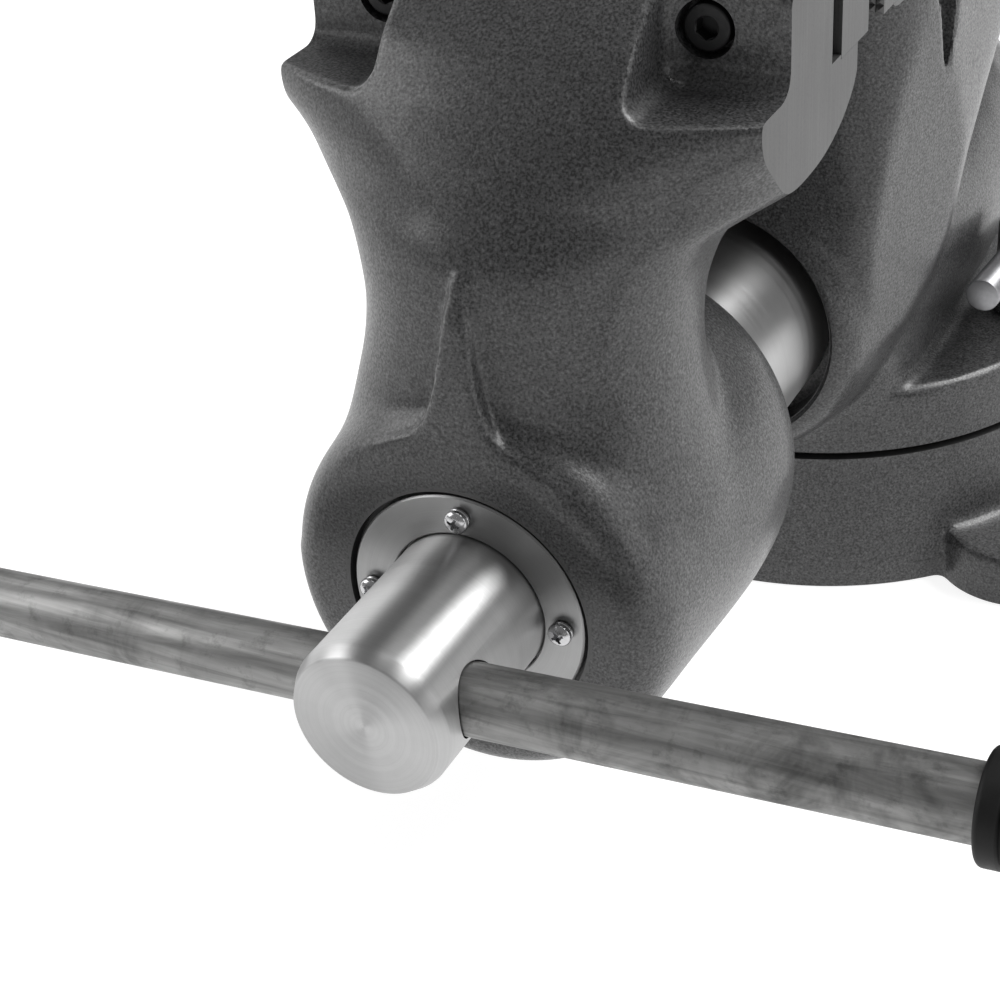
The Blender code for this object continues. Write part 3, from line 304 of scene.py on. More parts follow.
def turned(name, outline, centre, axis, segments=128):
    """A turned solid: a Screw modifier on the outline, (distance along the axis, radius) points.

    The outline starts and ends on the axis, or is a loop that is clear of it.
    """
    points = [(radius * MM, 0.0, distance * MM) for distance, radius in reversed(outline)]
    edges = [(step, step + 1) for step in range(len(points) - 1)
             if points[step][0] > 0 or points[step + 1][0] > 0]
    if outline[0][1] > 0:
        edges.append((len(points) - 1, 0))
    mesh = bpy.data.meshes.new(name)
    mesh.from_pydata(points, edges, [])
    obj = new_object(name, mesh)
    screw = obj.modifiers.new("turn", "SCREW")
    screw.steps = segments
    screw.render_steps = segments
    screw.use_merge_vertices = True
    screw.merge_threshold = SAME_POINT
    apply_modifiers(obj)
    obj.data.transform(placed_along(axis, centre))
    return obj


def arc(distance, radius, size, start, end, steps=6):
    """Points of a quarter round in an outline, about a centre, between two angles in degrees."""
    turns = [math.radians(start + (end - start) * step / steps) for step in range(steps + 1)]
    return [(distance + size * math.cos(turn), radius + size * math.sin(turn)) for turn in turns]


def reflect(y, mirror):
    """Y on the front jaw, or its counterpart on the rear jaw."""
    return 2 * MIRROR_Y - y if mirror else y


def section(level):
    """One level of a casting: a rounded oblong that can be squarer behind than in front."""
    height, half_width, front, widest, rear, front_power, rear_power = level
    points = []
    for step in range(LEVEL_POINTS):
        angle = 2 * math.pi * (step + 0.5) / LEVEL_POINTS
        across = math.cos(angle)
        behind = math.sin(angle)
        power = 2 / (rear_power if behind > 0 else front_power)
        reach = rear - widest if behind > 0 else widest - front
        x = half_width * math.copysign(abs(across) ** power, across)
        y = widest + reach * math.copysign(abs(behind) ** power, behind)
        points.append(Vector((x, y, height)))
    return points


def lofted(name, levels, y_shift=0.0, mirror=False):
    """A solid bridged through a stack of levels, reflected about the line between the jaws if asked."""
    bm = bmesh.new()
    loops = []
    for level in levels:
        places = [(p.x, reflect(p.y + y_shift, mirror), p.z + SPINDLE_Z) for p in section(level)]
        corners = [bm.verts.new(Vector(place) * MM) for place in places]
        loops.append([bm.edges.new(pair) for pair in zip(corners, corners[1:] + corners[:1])])
    for below, above in zip(loops, loops[1:]):
        bmesh.ops.bridge_loops(bm, edges=below + above)
    bmesh.ops.holes_fill(bm, edges=loops[0] + loops[-1], sides=LEVEL_POINTS)
    bmesh.ops.recalc_face_normals(bm, faces=bm.faces)
    return from_bmesh(name, bm)


def combine(target, tools, operation):
    """Boolean the tools into the target and remove them."""
    for tool in tools:
        modifier = target.modifiers.new(tool.name, "BOOLEAN")
        modifier.operation = operation
        modifier.solver = "EXACT"
        modifier.object = tool
        apply_modifiers(target)
        bpy.data.objects.remove(tool, do_unlink=True)


def cut(target, *tools):
    """Take the tools away from the target."""
    combine(target, tools, "DIFFERENCE")


def join(target, *tools):
    """Add the tools to the target."""
    combine(target, tools, "UNION")


def soften(obj, voxel, steps):
    """Round a rough shape the way a sand casting is rounded."""
    remesh = obj.modifiers.new("skin", "REMESH")
    remesh.mode = "VOXEL"
    remesh.voxel_size = voxel * MM
    smooth = obj.modifiers.new("fillets", "SMOOTH")
    smooth.factor = 0.5
    smooth.iterations = steps
    apply_modifiers(obj)


def blend(obj, steps, weight):
    """Smooth only where the weight, a function of a point in millimetres, is above nothing."""
    group = obj.vertex_groups.new(name="blend")
    for vertex in obj.data.vertices:
        amount = weight(vertex.co / MM)
        if amount > 0:
            group.add([vertex.index], min(amount, 1.0), "REPLACE")
    smooth = obj.modifiers.new("blend", "SMOOTH")
    smooth.factor = 0.5
    smooth.iterations = steps
    smooth.vertex_group = "blend"
    apply_modifiers(obj)
    obj.vertex_groups.clear()


def root_weight(point):
    """Strength of the extra blending where the front jaw's neck runs into its barrel."""
    height = point.z - SPINDLE_Z
    reach = math.hypot(point.x, height)
    if height < 5:
        return 0.0
    beside_hollow = max((point.y - PLATE_Y - 14) / 14, (point.x - 34) / 14, (-4 - point.x) / 10)
    return min((reach - 51) / 8, (95 - height) / 25, beside_hollow)


def corner_weight(point):
    """Strength of the extra rounding on the corners at the back of the block under the rear jaw."""
    height = point.z - SPINDLE_Z
    outward = (abs(point.x) - 52) / 8
    return min(outward, (point.y + 45) / 15, (45 - point.y) / 10, (118 - height) / 12, (height + 5) / 15)


def bevelled(obj, width, segments=2, angle=40.0):
    """Round the sharp edges of a piece."""
    bevel = obj.modifiers.new("edges", "BEVEL")
    bevel.width = width * MM
    bevel.segments = segments
    bevel.limit_method = "ANGLE"
    bevel.angle_limit = math.radians(angle)
    bevel.harden_normals = False
    apply_modifiers(obj)
    return obj


def finish(obj, body, slot, nodes, *materials, smooth_angle=32.0):
    """Shade a piece, give it its materials, and set what it rides on and stands for."""
    obj.data.materials.clear()
    for material in materials:
        obj.data.materials.append(material)
    for polygon in obj.data.polygons:
        polygon.use_smooth = True
    obj.data.set_sharp_from_angle(angle=math.radians(smooth_angle))
    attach(obj, body)
    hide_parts(*nodes)
    return obj


def clean(obj):
    """Merge stray points and turn the faces outward."""
    bm = bmesh.new()
    bm.from_mesh(obj.data)
    bmesh.ops.remove_doubles(bm, verts=bm.verts, dist=SAME_POINT)
    bmesh.ops.recalc_face_normals(bm, faces=bm.faces)
    bm.to_mesh(obj.data)
    bm.free()


# --- materials ---------------------------------------------------------------------------------
class Finish:
    """A Principled material whose nodes are added one after another."""

    def __init__(self, name, metallic=0.0, roughness=0.5):
        self.material = bpy.data.materials.new(name)
        self.material.use_nodes = True
        self.tree = self.material.node_tree
        self.shader = self.tree.nodes["Principled BSDF"]
        self.set("Metallic", metallic)
        self.set("Roughness", roughness)
        self.place = self.add("ShaderNodeTexCoord").outputs["Object"]

    def add(self, kind, **settings):
        """Add a node and set its plain properties."""
        node = self.tree.nodes.new(kind)
        for name, value in settings.items():
            setattr(node, name, value)
        return node

    def set(self, name, value):
        """Set a value on the shader."""
        self.shader.inputs[name].default_value = value

    def wire(self, source, target):
        """Link two sockets."""
        self.tree.links.new(source, target)

    def noise(self, scale, detail=3.0, rough=0.5, place=None, distortion=0.0):
        """A noise pattern with about this many features a metre."""
        node = self.add("ShaderNodeTexNoise")
        node.inputs["Scale"].default_value = scale
        node.inputs["Detail"].default_value = detail
        node.inputs["Roughness"].default_value = rough
        node.inputs["Distortion"].default_value = distortion
        self.wire(place or self.place, node.inputs["Vector"])
        return node.outputs["Fac"]

    def stretched(self, factors):
        """Object coordinates scaled differently along each axis."""
        node = self.add("ShaderNodeMapping")
        node.inputs["Scale"].default_value = factors
        self.wire(self.place, node.inputs["Vector"])
        return node.outputs["Vector"]

    def ramp(self, source, *stops):
        """Colours or greys spread over a value, as (position, colour) stops."""
        node = self.add("ShaderNodeValToRGB")
        elements = node.color_ramp.elements
        while len(elements) < len(stops):
            elements.new(0.5)
        for element, (position, colour) in zip(elements, stops):
            element.position = position
            shade = (colour, colour, colour) if isinstance(colour, float) else colour
            element.color = (*shade, 1.0)
        self.wire(source, node.inputs["Fac"])
        return node.outputs["Color"]

    def mix(self, kind, amount, first, second):
        """Blend two colours."""
        node = self.add("ShaderNodeMix", data_type="RGBA", blend_type=kind)
        node.inputs["Factor"].default_value = amount
        self.wire(first, node.inputs["A"])
        self.wire(second, node.inputs["B"])
        return node.outputs["Result"]

    def bump(self, source, strength, depth):
        """Relief of this depth in millimetres, on top of any relief that is there already."""
        node = self.add("ShaderNodeBump")
        node.inputs["Strength"].default_value = strength
        node.inputs["Distance"].default_value = depth * MM
        self.wire(source, node.inputs["Height"])
        normal = self.shader.inputs["Normal"]
        if normal.is_linked:
            self.wire(normal.links[0].from_socket, node.inputs["Normal"])
        self.wire(node.outputs["Normal"], normal)

    def radial_place(self):
        """Coordinates (distance from the spindle axis, 0, distance along it) for turned pieces."""
        parts = self.add("ShaderNodeSeparateXYZ")
        self.wire(self.place, parts.inputs["Vector"])
        height = self.add("ShaderNodeMath", operation="SUBTRACT")
        self.wire(parts.outputs["Z"], height.inputs[0])
        height.inputs[1].default_value = SPINDLE_Z * MM
        flat = self.add("ShaderNodeCombineXYZ")
        self.wire(parts.outputs["X"], flat.inputs["X"])
        self.wire(height.outputs["Value"], flat.inputs["Y"])
        length = self.add("ShaderNodeVectorMath", operation="LENGTH")
        self.wire(flat.outputs["Vector"], length.inputs[0])
        out = self.add("ShaderNodeCombineXYZ")
        self.wire(length.outputs["Value"], out.inputs["X"])
        self.wire(parts.outputs["Y"], out.inputs["Z"])
        return out.outputs["Vector"]

    def grain_along_axis(self, amount, rotation):
        """Brushed reflections that follow the turning marks about the Y axis."""
        tangent = self.add("ShaderNodeTangent", direction_type="RADIAL", axis="Y")
        self.wire(tangent.outputs["Tangent"], self.shader.inputs["Tangent"])
        self.set("Anisotropic", amount)
        self.set("Anisotropic Rotation", rotation)


def hammered_paint():
    """Dark grey stoved paint over a rough casting: small dark pits in a satin skin."""
    paint = Finish("hammered_paint", 0.0, 0.42)
    grain = paint.noise(1250.0, 2.5, 0.58)
    blotch = paint.noise(95.0, 3.0, 0.55)
    speckle = paint.ramp(grain, (0.40, (0.002, 0.002, 0.0022)), (0.48, (0.035, 0.035, 0.036)),
                         (0.58, (0.046, 0.046, 0.047)), (0.68, (0.090, 0.090, 0.091)))
    tone = paint.ramp(blotch, (0.30, 0.84), (0.70, 1.0))
    paint.wire(paint.mix("MULTIPLY", 1.0, speckle, tone), paint.shader.inputs["Base Color"])
    paint.wire(paint.ramp(grain, (0.35, 0.52), (0.65, 0.38)), paint.shader.inputs["Roughness"])
    paint.set("Coat Weight", 0.32)
    paint.set("Coat Roughness", 0.20)
    paint.bump(paint.noise(160.0, 2.0, 0.5), 0.25, 0.6)
    paint.bump(grain, 0.40, 0.25)
    return paint.material


def milled_steel(name, shade):
    """Machined flats: fine upright cutter marks and a dull oiled grey."""
    steel = Finish(name, 0.75, 0.45)
    marks = steel.noise(1.0, 1.0, 0.5, steel.stretched((1500.0, 1500.0, 25.0)))
    cloud = steel.noise(40.0, 3.0, 0.5)
    grain = steel.noise(1300.0, 2.0, 0.6)
    colour = steel.ramp(marks, (0.25, shade * 0.93), (0.75, shade * 1.05))
    tone = steel.ramp(cloud, (0.30, 0.86), (0.70, 1.0))
    colour = steel.mix("MULTIPLY", 1.0, colour, tone)
    steel.wire(steel.mix("MULTIPLY", 1.0, colour, steel.ramp(grain, (0.34, 0.86), (0.48, 1.0))),
               steel.shader.inputs["Base Color"])
    steel.wire(steel.ramp(marks, (0.30, 0.42), (0.70, 0.50)), steel.shader.inputs["Roughness"])
    steel.bump(marks, 0.10, 0.05)
    return steel.material


def turned_steel(name, shade, rough, brushed, relief=0.08):
    """Turned steel: fine rings from the lathe and reflections drawn out along the axis."""
    steel = Finish(name, 1.0, rough)
    rings = steel.radial_place()
    fine = steel.noise(2600.0, 1.0, 0.5, rings)
    broad = steel.noise(420.0, 2.0, 0.6, rings)
    cloud = steel.noise(60.0, 4.0, 0.6)
    colour = steel.ramp(fine, (0.25, shade * 0.92), (0.75, shade))
    tone = steel.ramp(cloud, (0.30, 0.92), (0.65, 1.0))
    steel.wire(steel.mix("MULTIPLY", 1.0, colour, tone), steel.shader.inputs["Base Color"])
    steel.wire(steel.ramp(broad, (0.30, rough * 0.9), (0.70, rough * 1.1)), steel.shader.inputs["Roughness"])
    steel.bump(fine, relief, 0.03)
    steel.grain_along_axis(brushed, 0.25)
    return steel.material


def raw_bar_steel():
    """Drawn bar with mill stains, streaks along its length and handled patches."""
    bar = Finish("raw_bar_steel", 0.9, 0.46)
    along = bar.stretched((14.0, 260.0, 260.0))
    streak = bar.noise(1.0, 5.0, 0.62, along, 0.6)
    patch = bar.noise(26.0, 5.0, 0.62, None, 0.9)
    spots = bar.noise(190.0, 4.0, 0.7)
    colour = bar.ramp(streak, (0.28, (0.14, 0.14, 0.138)), (0.50, (0.26, 0.26, 0.256)),
                      (0.72, (0.37, 0.37, 0.365)))
    stain = bar.ramp(patch, (0.32, 0.38), (0.46, 0.86), (0.58, 1.0))
    fleck = bar.ramp(spots, (0.30, 0.70), (0.46, 1.0))
    colour = bar.mix("MULTIPLY", 1.0, colour, stain)
    bar.wire(bar.mix("MULTIPLY", 1.0, colour, fleck), bar.shader.inputs["Base Color"])
    bar.wire(bar.ramp(patch, (0.32, 0.62), (0.62, 0.40)), bar.shader.inputs["Roughness"])
    bar.bump(streak, 0.15, 0.15)
    bar.bump(spots, 0.12, 0.08)
    return bar.material


def plain_metal(name, shade, metallic, rough, scale=900.0):
    """Small plated, blackened or cast parts with a fine uneven skin."""
    metal = Finish(name, metallic, rough)
    grain = metal.noise(scale, 3.0, 0.6)
    cloud = metal.noise(120.0, 3.0, 0.5)
    low = tuple(channel * 0.78 for channel in shade)
    metal.wire(metal.ramp(cloud, (0.30, low), (0.65, shade)), metal.shader.inputs["Base Color"])
    metal.wire(metal.ramp(grain, (0.30, rough * 0.8), (0.70, rough * 1.2)), metal.shader.inputs["Roughness"])
    metal.bump(grain, 0.18, 0.06)
    return metal.material


def rubber():
    """Black moulded rubber with a faint bloom."""
    skin = Finish("cap_rubber", 0.0, 0.55)
    cloud = skin.noise(150.0, 4.0, 0.6)
    skin.wire(skin.ramp(cloud, (0.30, 0.003), (0.70, 0.006)), skin.shader.inputs["Base Color"])
    skin.wire(skin.ramp(cloud, (0.30, 0.48), (0.70, 0.62)), skin.shader.inputs["Roughness"])
    skin.set("Specular IOR Level", 0.25)
    skin.bump(skin.noise(1500.0, 2.0, 0.5), 0.15, 0.05)
    return skin.material


def studio_floor():
    """Matt white floor."""
    floor = Finish("studio_floor", 0.0, 0.9)
    cloud = floor.noise(0.7, 2.0, 0.5)
    floor.wire(floor.ramp(cloud, (0.30, 0.34), (0.70, 0.36)), floor.shader.inputs["Base Color"])
    floor.set("Specular IOR Level", 0.1)
    floor.set("Emission Color", (1.0, 1.0, 1.0, 1.0))
    floor.set("Emission Strength", FLOOR_GLOW)
    return floor.material


# --- castings ----------------------------------------------------------------------------------
def jaw_box(name, low, high, mirror):
    """A block stated for the front jaw and reflected for the rear one."""
    near = reflect(low[1], mirror)
    far = reflect(high[1], mirror)
    return box(name, (low[0], min(near, far), low[2]), (high[0], max(near, far), high[2]))


def pocket_cutters(mirror):
    """The two cast pockets beside a jaw's rib, open to the front, the side and the top."""
    behind = FRONT_FACE_Y - CLEAR
    tools = []
    for sign in (-1, 1):
        pocket_x = sorted((RIB_HALF_WIDTH * sign, CLEAR * sign))
        pocket = jaw_box("pocket", (pocket_x[0], behind, LEDGE_Z),
                         (pocket_x[1], POCKET_FLOOR_Y, JAW_TOP_Z + CLEAR), mirror)
        tools.append(bevelled(pocket, POCKET_FILLET, 4))
    return tools


def machine_jaw(casting, mirror):
    """Side flats, top, insert seat, end reliefs and screw holes of one jaw."""
    half = JAW_WIDTH / 2
    seat_y = FRONT_FACE_Y - INSERT_DEPTH
    direction = (0, -1, 0) if mirror else (0, 1, 0)
    ahead = FRONT_FACE_Y + AHEAD
    behind = FRONT_FACE_Y - CLEAR
    above = JAW_TOP_Z + CLEAR
    flat_bottom = REAR_FLAT_BOTTOM_Z if mirror else FLAT_BOTTOM_Z
    cut(casting,
        jaw_box("top", (-CLEAR, behind, JAW_TOP_Z), (CLEAR, ahead, above), mirror),
        jaw_box("seat", (-CLEAR, seat_y, INSERT_BOTTOM_Z), (CLEAR, ahead, above), mirror),
        jaw_box("face", (-CLEAR, FRONT_FACE_Y - FACE_SETBACK, FACE_BOTTOM_Z),
                (CLEAR, ahead, INSERT_BOTTOM_Z + 1), mirror))
    for sign in (-1, 1):
        flat_x = sorted((half * sign, CLEAR * sign))
        relief_x = sorted(((half - RELIEF_WIDTH) * sign, CLEAR * sign))
        spot = (JAW_SCREW_X * sign, reflect(POCKET_FLOOR_Y, mirror), JAW_SCREW_Z)
        cut(casting,
            jaw_box("flat", (flat_x[0], behind, flat_bottom), (flat_x[1], ahead, above), mirror),
            jaw_box("relief", (relief_x[0], seat_y - RELIEF_DEPTH, INSERT_BOTTOM_Z + RELIEF_RISE),
                    (relief_x[1], seat_y + 3, above), mirror),
            rod("counterbore", -6, COUNTERBORE_DEPTH, COUNTERBORE_R, spot, direction),
            rod("screw_hole", 6, 60, JAW_SCREW_R + 0.4, spot, direction, 32))


def mark_machined(casting, is_machined):
    """Give the faces that a cutter has left their bare metal."""
    for polygon in casting.data.polygons:
        polygon.material_index = 1 if is_machined(polygon.center / MM, polygon.normal) else 0


def jaw_is_machined(centre, normal, mirror):
    """True on a jaw's side flats, top and insert seat."""
    if centre.z < FLAT_BOTTOM_Z - 2:
        return False
    if abs(abs(centre.x) - JAW_WIDTH / 2) < ON_PLANE and abs(normal.x) > SQUARE_ON:
        return True
    if abs(centre.z - JAW_TOP_Z) < ON_PLANE and normal.z > SQUARE_ON:
        return True
    seat_y = reflect(FRONT_FACE_Y - INSERT_DEPTH - RELIEF_DEPTH - 0.5, mirror)
    towards = centre.y > seat_y if not mirror else centre.y < seat_y
    return towards and centre.z > INSERT_BOTTOM_Z - 0.1 and max(abs(c) for c in normal) > SQUARE_ON


def near_axis(centre, radius):
    """True within this radius of the spindle axis."""
    return math.hypot(centre.x, centre.z - SPINDLE_Z) < radius


def front_casting(paint, bare):
    """Front jaw: bulged barrel, waisted neck with its tongue, jaw head with two pockets."""
    casting = turned("front_jaw_casting", FRONT_BARREL, (OUTSIDE_X, PLATE_Y, SPINDLE_Z), Y_AXIS)
    join(casting, lofted("neck", FRONT_NECK, PLATE_Y))
    soften(casting, ROUGH_VOXEL, ROUGH_SMOOTH_STEPS)
    blend(casting, ROOT_STEPS, root_weight)
    join(casting, lofted("tongue", TONGUE, PLATE_Y))
    cut(casting, *pocket_cutters(False))
    soften(casting, FINE_VOXEL, FINE_SMOOTH_STEPS)
    machine_jaw(casting, False)
    bore = [
        (-10, 0), (-10, PLATE_RECESS_R), (PLATE_THICK + GAP, PLATE_RECESS_R),
        (PLATE_THICK + GAP, COLLAR_R + 0.5), (COLLAR_BACK, COLLAR_R + 0.5), (COLLAR_BACK, JOURNAL_R + 0.6),
        (JOURNAL_BACK, JOURNAL_R + 0.6), (JOURNAL_BACK, SLIDE_BAR_BORE_R), (SOCKET_START, SLIDE_BAR_BORE_R),
        (SOCKET_START, SLIDE_BAR_R + 0.05), (140.0, SLIDE_BAR_R + 0.05), (140.0, 0),
    ]
    cut(casting, turned("bore", bore, (0, PLATE_Y, SPINDLE_Z), Y_AXIS))
    for x, z in plate_screw_spots():
        cut(casting, rod("tapped_hole", 3, 12, PLATE_SCREW_R + 0.2, (x, PLATE_Y, z), Y_AXIS, 24))
    clean(casting)
    finish(casting, "front_jaw", "casting_paint", ["front_jaw"], paint, bare)
    mark_machined(casting, lambda centre, normal: jaw_is_machined(centre, normal, False)
                  or near_axis(centre, SLIDE_BAR_R + 0.2))


def splayed_block():
    """Block under the rear jaw, with its sides splayed out from the front towards the rear."""
    block = lofted("block", REAR_BLOCK)
    for sign in (-1, 1):
        wedge_x = sorted((0, CLEAR * sign))
        wedge = box("splay", (wedge_x[0], -150, -110), (wedge_x[1], 150, 110))
        lean = Matrix.Rotation(SPLAY_LEAN * sign, 4, "Y")
        turn = Matrix.Rotation(-SPLAY_TURN * sign, 4, "Z")
        corner = Vector((SPLAY_FRONT_X * sign, SPLAY_FRONT_Y, SPLAY_FRONT_Z))
        wedge.data.transform(Matrix.Translation(corner * MM) @ turn @ lean)
        cut(block, wedge)
    return block


def rear_casting(paint, bare):
    """Rear body: turntable, bullet barrel, notched block under the rear jaw, and anvil."""
    casting = turned("rear_body_casting", REAR_BARREL, (0, 0, SPINDLE_Z), Y_AXIS)
    table = [(TABLE_BOTTOM_Z - 6, 0), (TABLE_BOTTOM_Z - 6, TABLE_R + 0.6), (TABLE_TOP_Z - 2, TABLE_R - 0.6),
             (TABLE_TOP_Z, TABLE_R - 3), (TABLE_TOP_Z, 0)]
    join(casting, turned("table", table, (0, 0, 0), Z_AXIS), lofted("foot", FOOT), splayed_block(),
         lofted("anvil", ANVIL_BLOCK), lofted("head", REAR_HEAD, PLATE_Y, True))
    soften(casting, ROUGH_VOXEL, ROUGH_SMOOTH_STEPS)
    blend(casting, ROOT_STEPS, corner_weight)
    join(casting, turned("table", table, (0, 0, 0), Z_AXIS))
    cut(casting, *pocket_cutters(True))
    for sign in (-1, 1):
        cut(casting, rod("notch", NOTCH_BOTTOM_Z, NOTCH_TOP_Z, 1.0, (NOTCH_X * sign, NOTCH_Y, 0),
                         Z_AXIS, 32, NOTCH_R))
    soften(casting, FINE_VOXEL, FINE_SMOOTH_STEPS)
    machine_jaw(casting, True)
    bore = [
        (-130, 0), (-130, BODY_BORE_R + 7.0), (COLLAR_Y + 0.5, BODY_BORE_R + 6.0),
        (COLLAR_Y + 2.0, BODY_BORE_R + 4.8), (COLLAR_Y + 3.0, BODY_BORE_R),
        (FRONT_BEARING_END_Y, BODY_BORE_R), (FRONT_BEARING_END_Y + CORE_TAPER, CORE_R),
        (REAR_BEARING_Y - CORE_TAPER, CORE_R),
        (REAR_BEARING_Y, BODY_BORE_R), (TAIL_WALL_Y, BODY_BORE_R), (TAIL_WALL_Y, TAIL_SCREW_R),
        (TAIL_HEAD_Y, TAIL_SCREW_R), (TAIL_HEAD_Y, TAIL_HEAD_R), (130.0, TAIL_HEAD_R), (130.0, 0),
    ]
    recess = [(COLLAR_Y, BODY_BORE_R - 3), (COLLAR_Y, MOUTH_R), (COLLAR_Y + MOUTH_DEPTH, MOUTH_R),
              (COLLAR_Y + MOUTH_DEPTH, BODY_BORE_R - 3)]
    mouth = turned("mouth", recess, (0, 0, SPINDLE_Z), Y_AXIS)
    cut(mouth, box("key_bridge", (-14, -140, 50), (14, -80, SPINDLE_Z)))
    groove_top = TABLE_BOTTOM_Z + GROOVE_HEIGHT
    groove = [(TABLE_BOTTOM_Z - 5, TABLE_R - GROOVE_DEPTH), (TABLE_BOTTOM_Z - 5, CLEAR),
              (groove_top, CLEAR), (groove_top, TABLE_R - GROOVE_DEPTH)]
    cut(casting, box("anvil_top", (-80, -62, ANVIL_TOP_Z), (80, 80, 300)),
        box("underside", (-140, -140, 20), (140, 140, TABLE_BOTTOM_Z)),
        turned("bore", bore, (0, 0, SPINDLE_Z), Y_AXIS),
        rod("pivot", 40, PIVOT_TOP_Z + GAP, PIVOT_R + 0.1, (0, 0, 0), Z_AXIS),
        turned("groove", groove, (0, 0, 0), Z_AXIS, 160), mouth)
    for sign in (-1, 1):
        spot = (LOCK_X * sign, 0, 0)
        cut(casting, rod("spot_face", TABLE_TOP_Z, LOCK_NUT_TOP_Z + 7, SPOT_FACE_R, spot, Z_AXIS),
            rod("stud_hole", 40, TABLE_TOP_Z + 5, STUD_R + 0.5, spot, Z_AXIS, 48))
    clean(casting)
    finish(casting, "rear_body", "casting_paint", ["rear_body"], paint, bare)
    mark_machined(casting, lambda centre, normal: jaw_is_machined(centre, normal, True)
                  or near_axis(centre, BODY_BORE_R + 0.2)
                  or (abs(centre.z - ANVIL_TOP_Z) < ON_PLANE and normal.z > SQUARE_ON))


def ring_outline(low, high, half_width):
    """Outline of a ring cutter on the circle of the lock studs."""
    return [(low, LOCK_X - half_width), (low, LOCK_X + half_width), (high, LOCK_X + half_width),
            (high, LOCK_X - half_width)]


def base_casting(paint, bare):
    """Swivel base: drafted drum, round lugs, ring slot for the lock studs and a dished foot."""
    outline = [(-6.0, 0.0), (-6.0, BASE_FOOT_R), (6.0, BASE_FOOT_R), (BASE_TOP_Z - 1, BASE_TOP_R + 0.4),
               (BASE_TOP_Z + 6, BASE_TOP_R + 0.2), (BASE_TOP_Z + 6, 0.0)]
    casting = turned("swivel_base_casting", outline, (0, 0, 0), Z_AXIS, 160)
    for angle in LUG_ANGLES:
        turn = math.radians(angle)
        spot = (LUG_OUT * math.cos(turn), LUG_OUT * math.sin(turn), 0)
        join(casting, rod("lug", -6, LUG_THICK, LUG_FOOT_R + 0.5, spot, Z_AXIS, 96, LUG_TOP_R))
    soften(casting, ROUGH_VOXEL, ROUGH_SMOOTH_STEPS // 2)
    slot = ring_outline(CHANNEL_TOP_Z - 1, BASE_TOP_Z + 5, SLOT_HALF_WIDTH)
    channel = ring_outline(CHANNEL_BOTTOM_Z, CHANNEL_TOP_Z, CHANNEL_HALF_WIDTH)
    top = [(BASE_TOP_Z, PIVOT_R), (BASE_TOP_Z, CLEAR), (BASE_TOP_Z + 20, CLEAR), (BASE_TOP_Z + 20, PIVOT_R)]
    cut(casting, turned("top", top, (0, 0, 0), Z_AXIS),
        rod("pivot_top", PIVOT_TOP_Z - 4, BASE_TOP_Z + 20, PIVOT_R + 2, (0, 0, 4), Z_AXIS),
        box("foot", (-CLEAR, -CLEAR, -40), (CLEAR, CLEAR, 0)),
        turned("slot", slot, (0, 0, 0), Z_AXIS, 120), turned("channel", channel, (0, 0, 0), Z_AXIS, 112),
        rod("entry", CHANNEL_BOTTOM_Z + 0.5, BASE_TOP_Z + 5, CHANNEL_HALF_WIDTH - 0.2, (0, LOCK_X, 0),
            Z_AXIS), turned("dish", BASE_DISH, (0, 0, 0), Z_AXIS, 100))
    for angle in LUG_ANGLES:
        turn = math.radians(angle)
        spot = (LUG_HOLE_OUT * math.cos(turn), LUG_HOLE_OUT * math.sin(turn), 0)
        cut(casting, rod("bolt_hole", -5, LUG_THICK + 5, LUG_HOLE_R, spot, Z_AXIS, 48))
    clean(casting)
    finish(casting, "base", "casting_paint", ["swivel_base"], paint, bare)
    mark_machined(casting, lambda centre, normal: centre.z > BASE_TOP_Z - 0.1 and normal.z > SQUARE_ON)


# --- jaws --------------------------------------------------------------------------------------
def serrated_insert(name, body, node, mirror, steel):
    """Steel insert whose gripping face is cut into rows of small pyramids."""
    depth = INSERT_DEPTH - GAP
    height = JAW_TOP_Z - INSERT_BOTTOM_Z - SEAM
    bm = bmesh.new()
    bmesh.ops.create_grid(bm, x_segments=round(JAW_WIDTH / TOOTH), y_segments=round(height / TOOTH), size=0.5)
    bmesh.ops.scale(bm, vec=(JAW_WIDTH * MM, height * MM, 1), verts=bm.verts)
    rim = [edge for edge in bm.edges if edge.is_boundary]
    bmesh.ops.poke(bm, faces=bm.faces[:], offset=TOOTH_RISE * MM)
    sides = bmesh.ops.extrude_edge_only(bm, edges=rim)
    back = [item for item in sides["geom"] if isinstance(item, bmesh.types.BMVert)]
    bmesh.ops.translate(bm, vec=(0, 0, -(depth - TOOTH_RISE) * MM), verts=back)
    edges = [item for item in sides["geom"] if isinstance(item, bmesh.types.BMEdge)]
    bmesh.ops.holes_fill(bm, edges=edges, sides=0)
    insert = from_bmesh(name, bm)
    front = reflect(FRONT_FACE_Y - TOOTH_RISE, mirror)
    middle = (0, front, JAW_TOP_Z - height / 2)
    facing = -math.pi / 2 if not mirror else math.pi / 2
    insert.data.transform(Matrix.Translation(Vector(middle) * MM) @ Matrix.Rotation(facing, 4, "X"))
    direction = (0, -1, 0) if mirror else (0, 1, 0)
    for sign in (-1, 1):
        spot = (JAW_SCREW_X * sign, reflect(FRONT_FACE_Y - depth, mirror), JAW_SCREW_Z)
        cut(insert, rod("tapped_hole", -3, 16, JAW_SCREW_R + 0.2, spot, direction, 32))
    clean(insert)
    return finish(insert, body, "jaw_steel", [node], steel, smooth_angle=20.0)


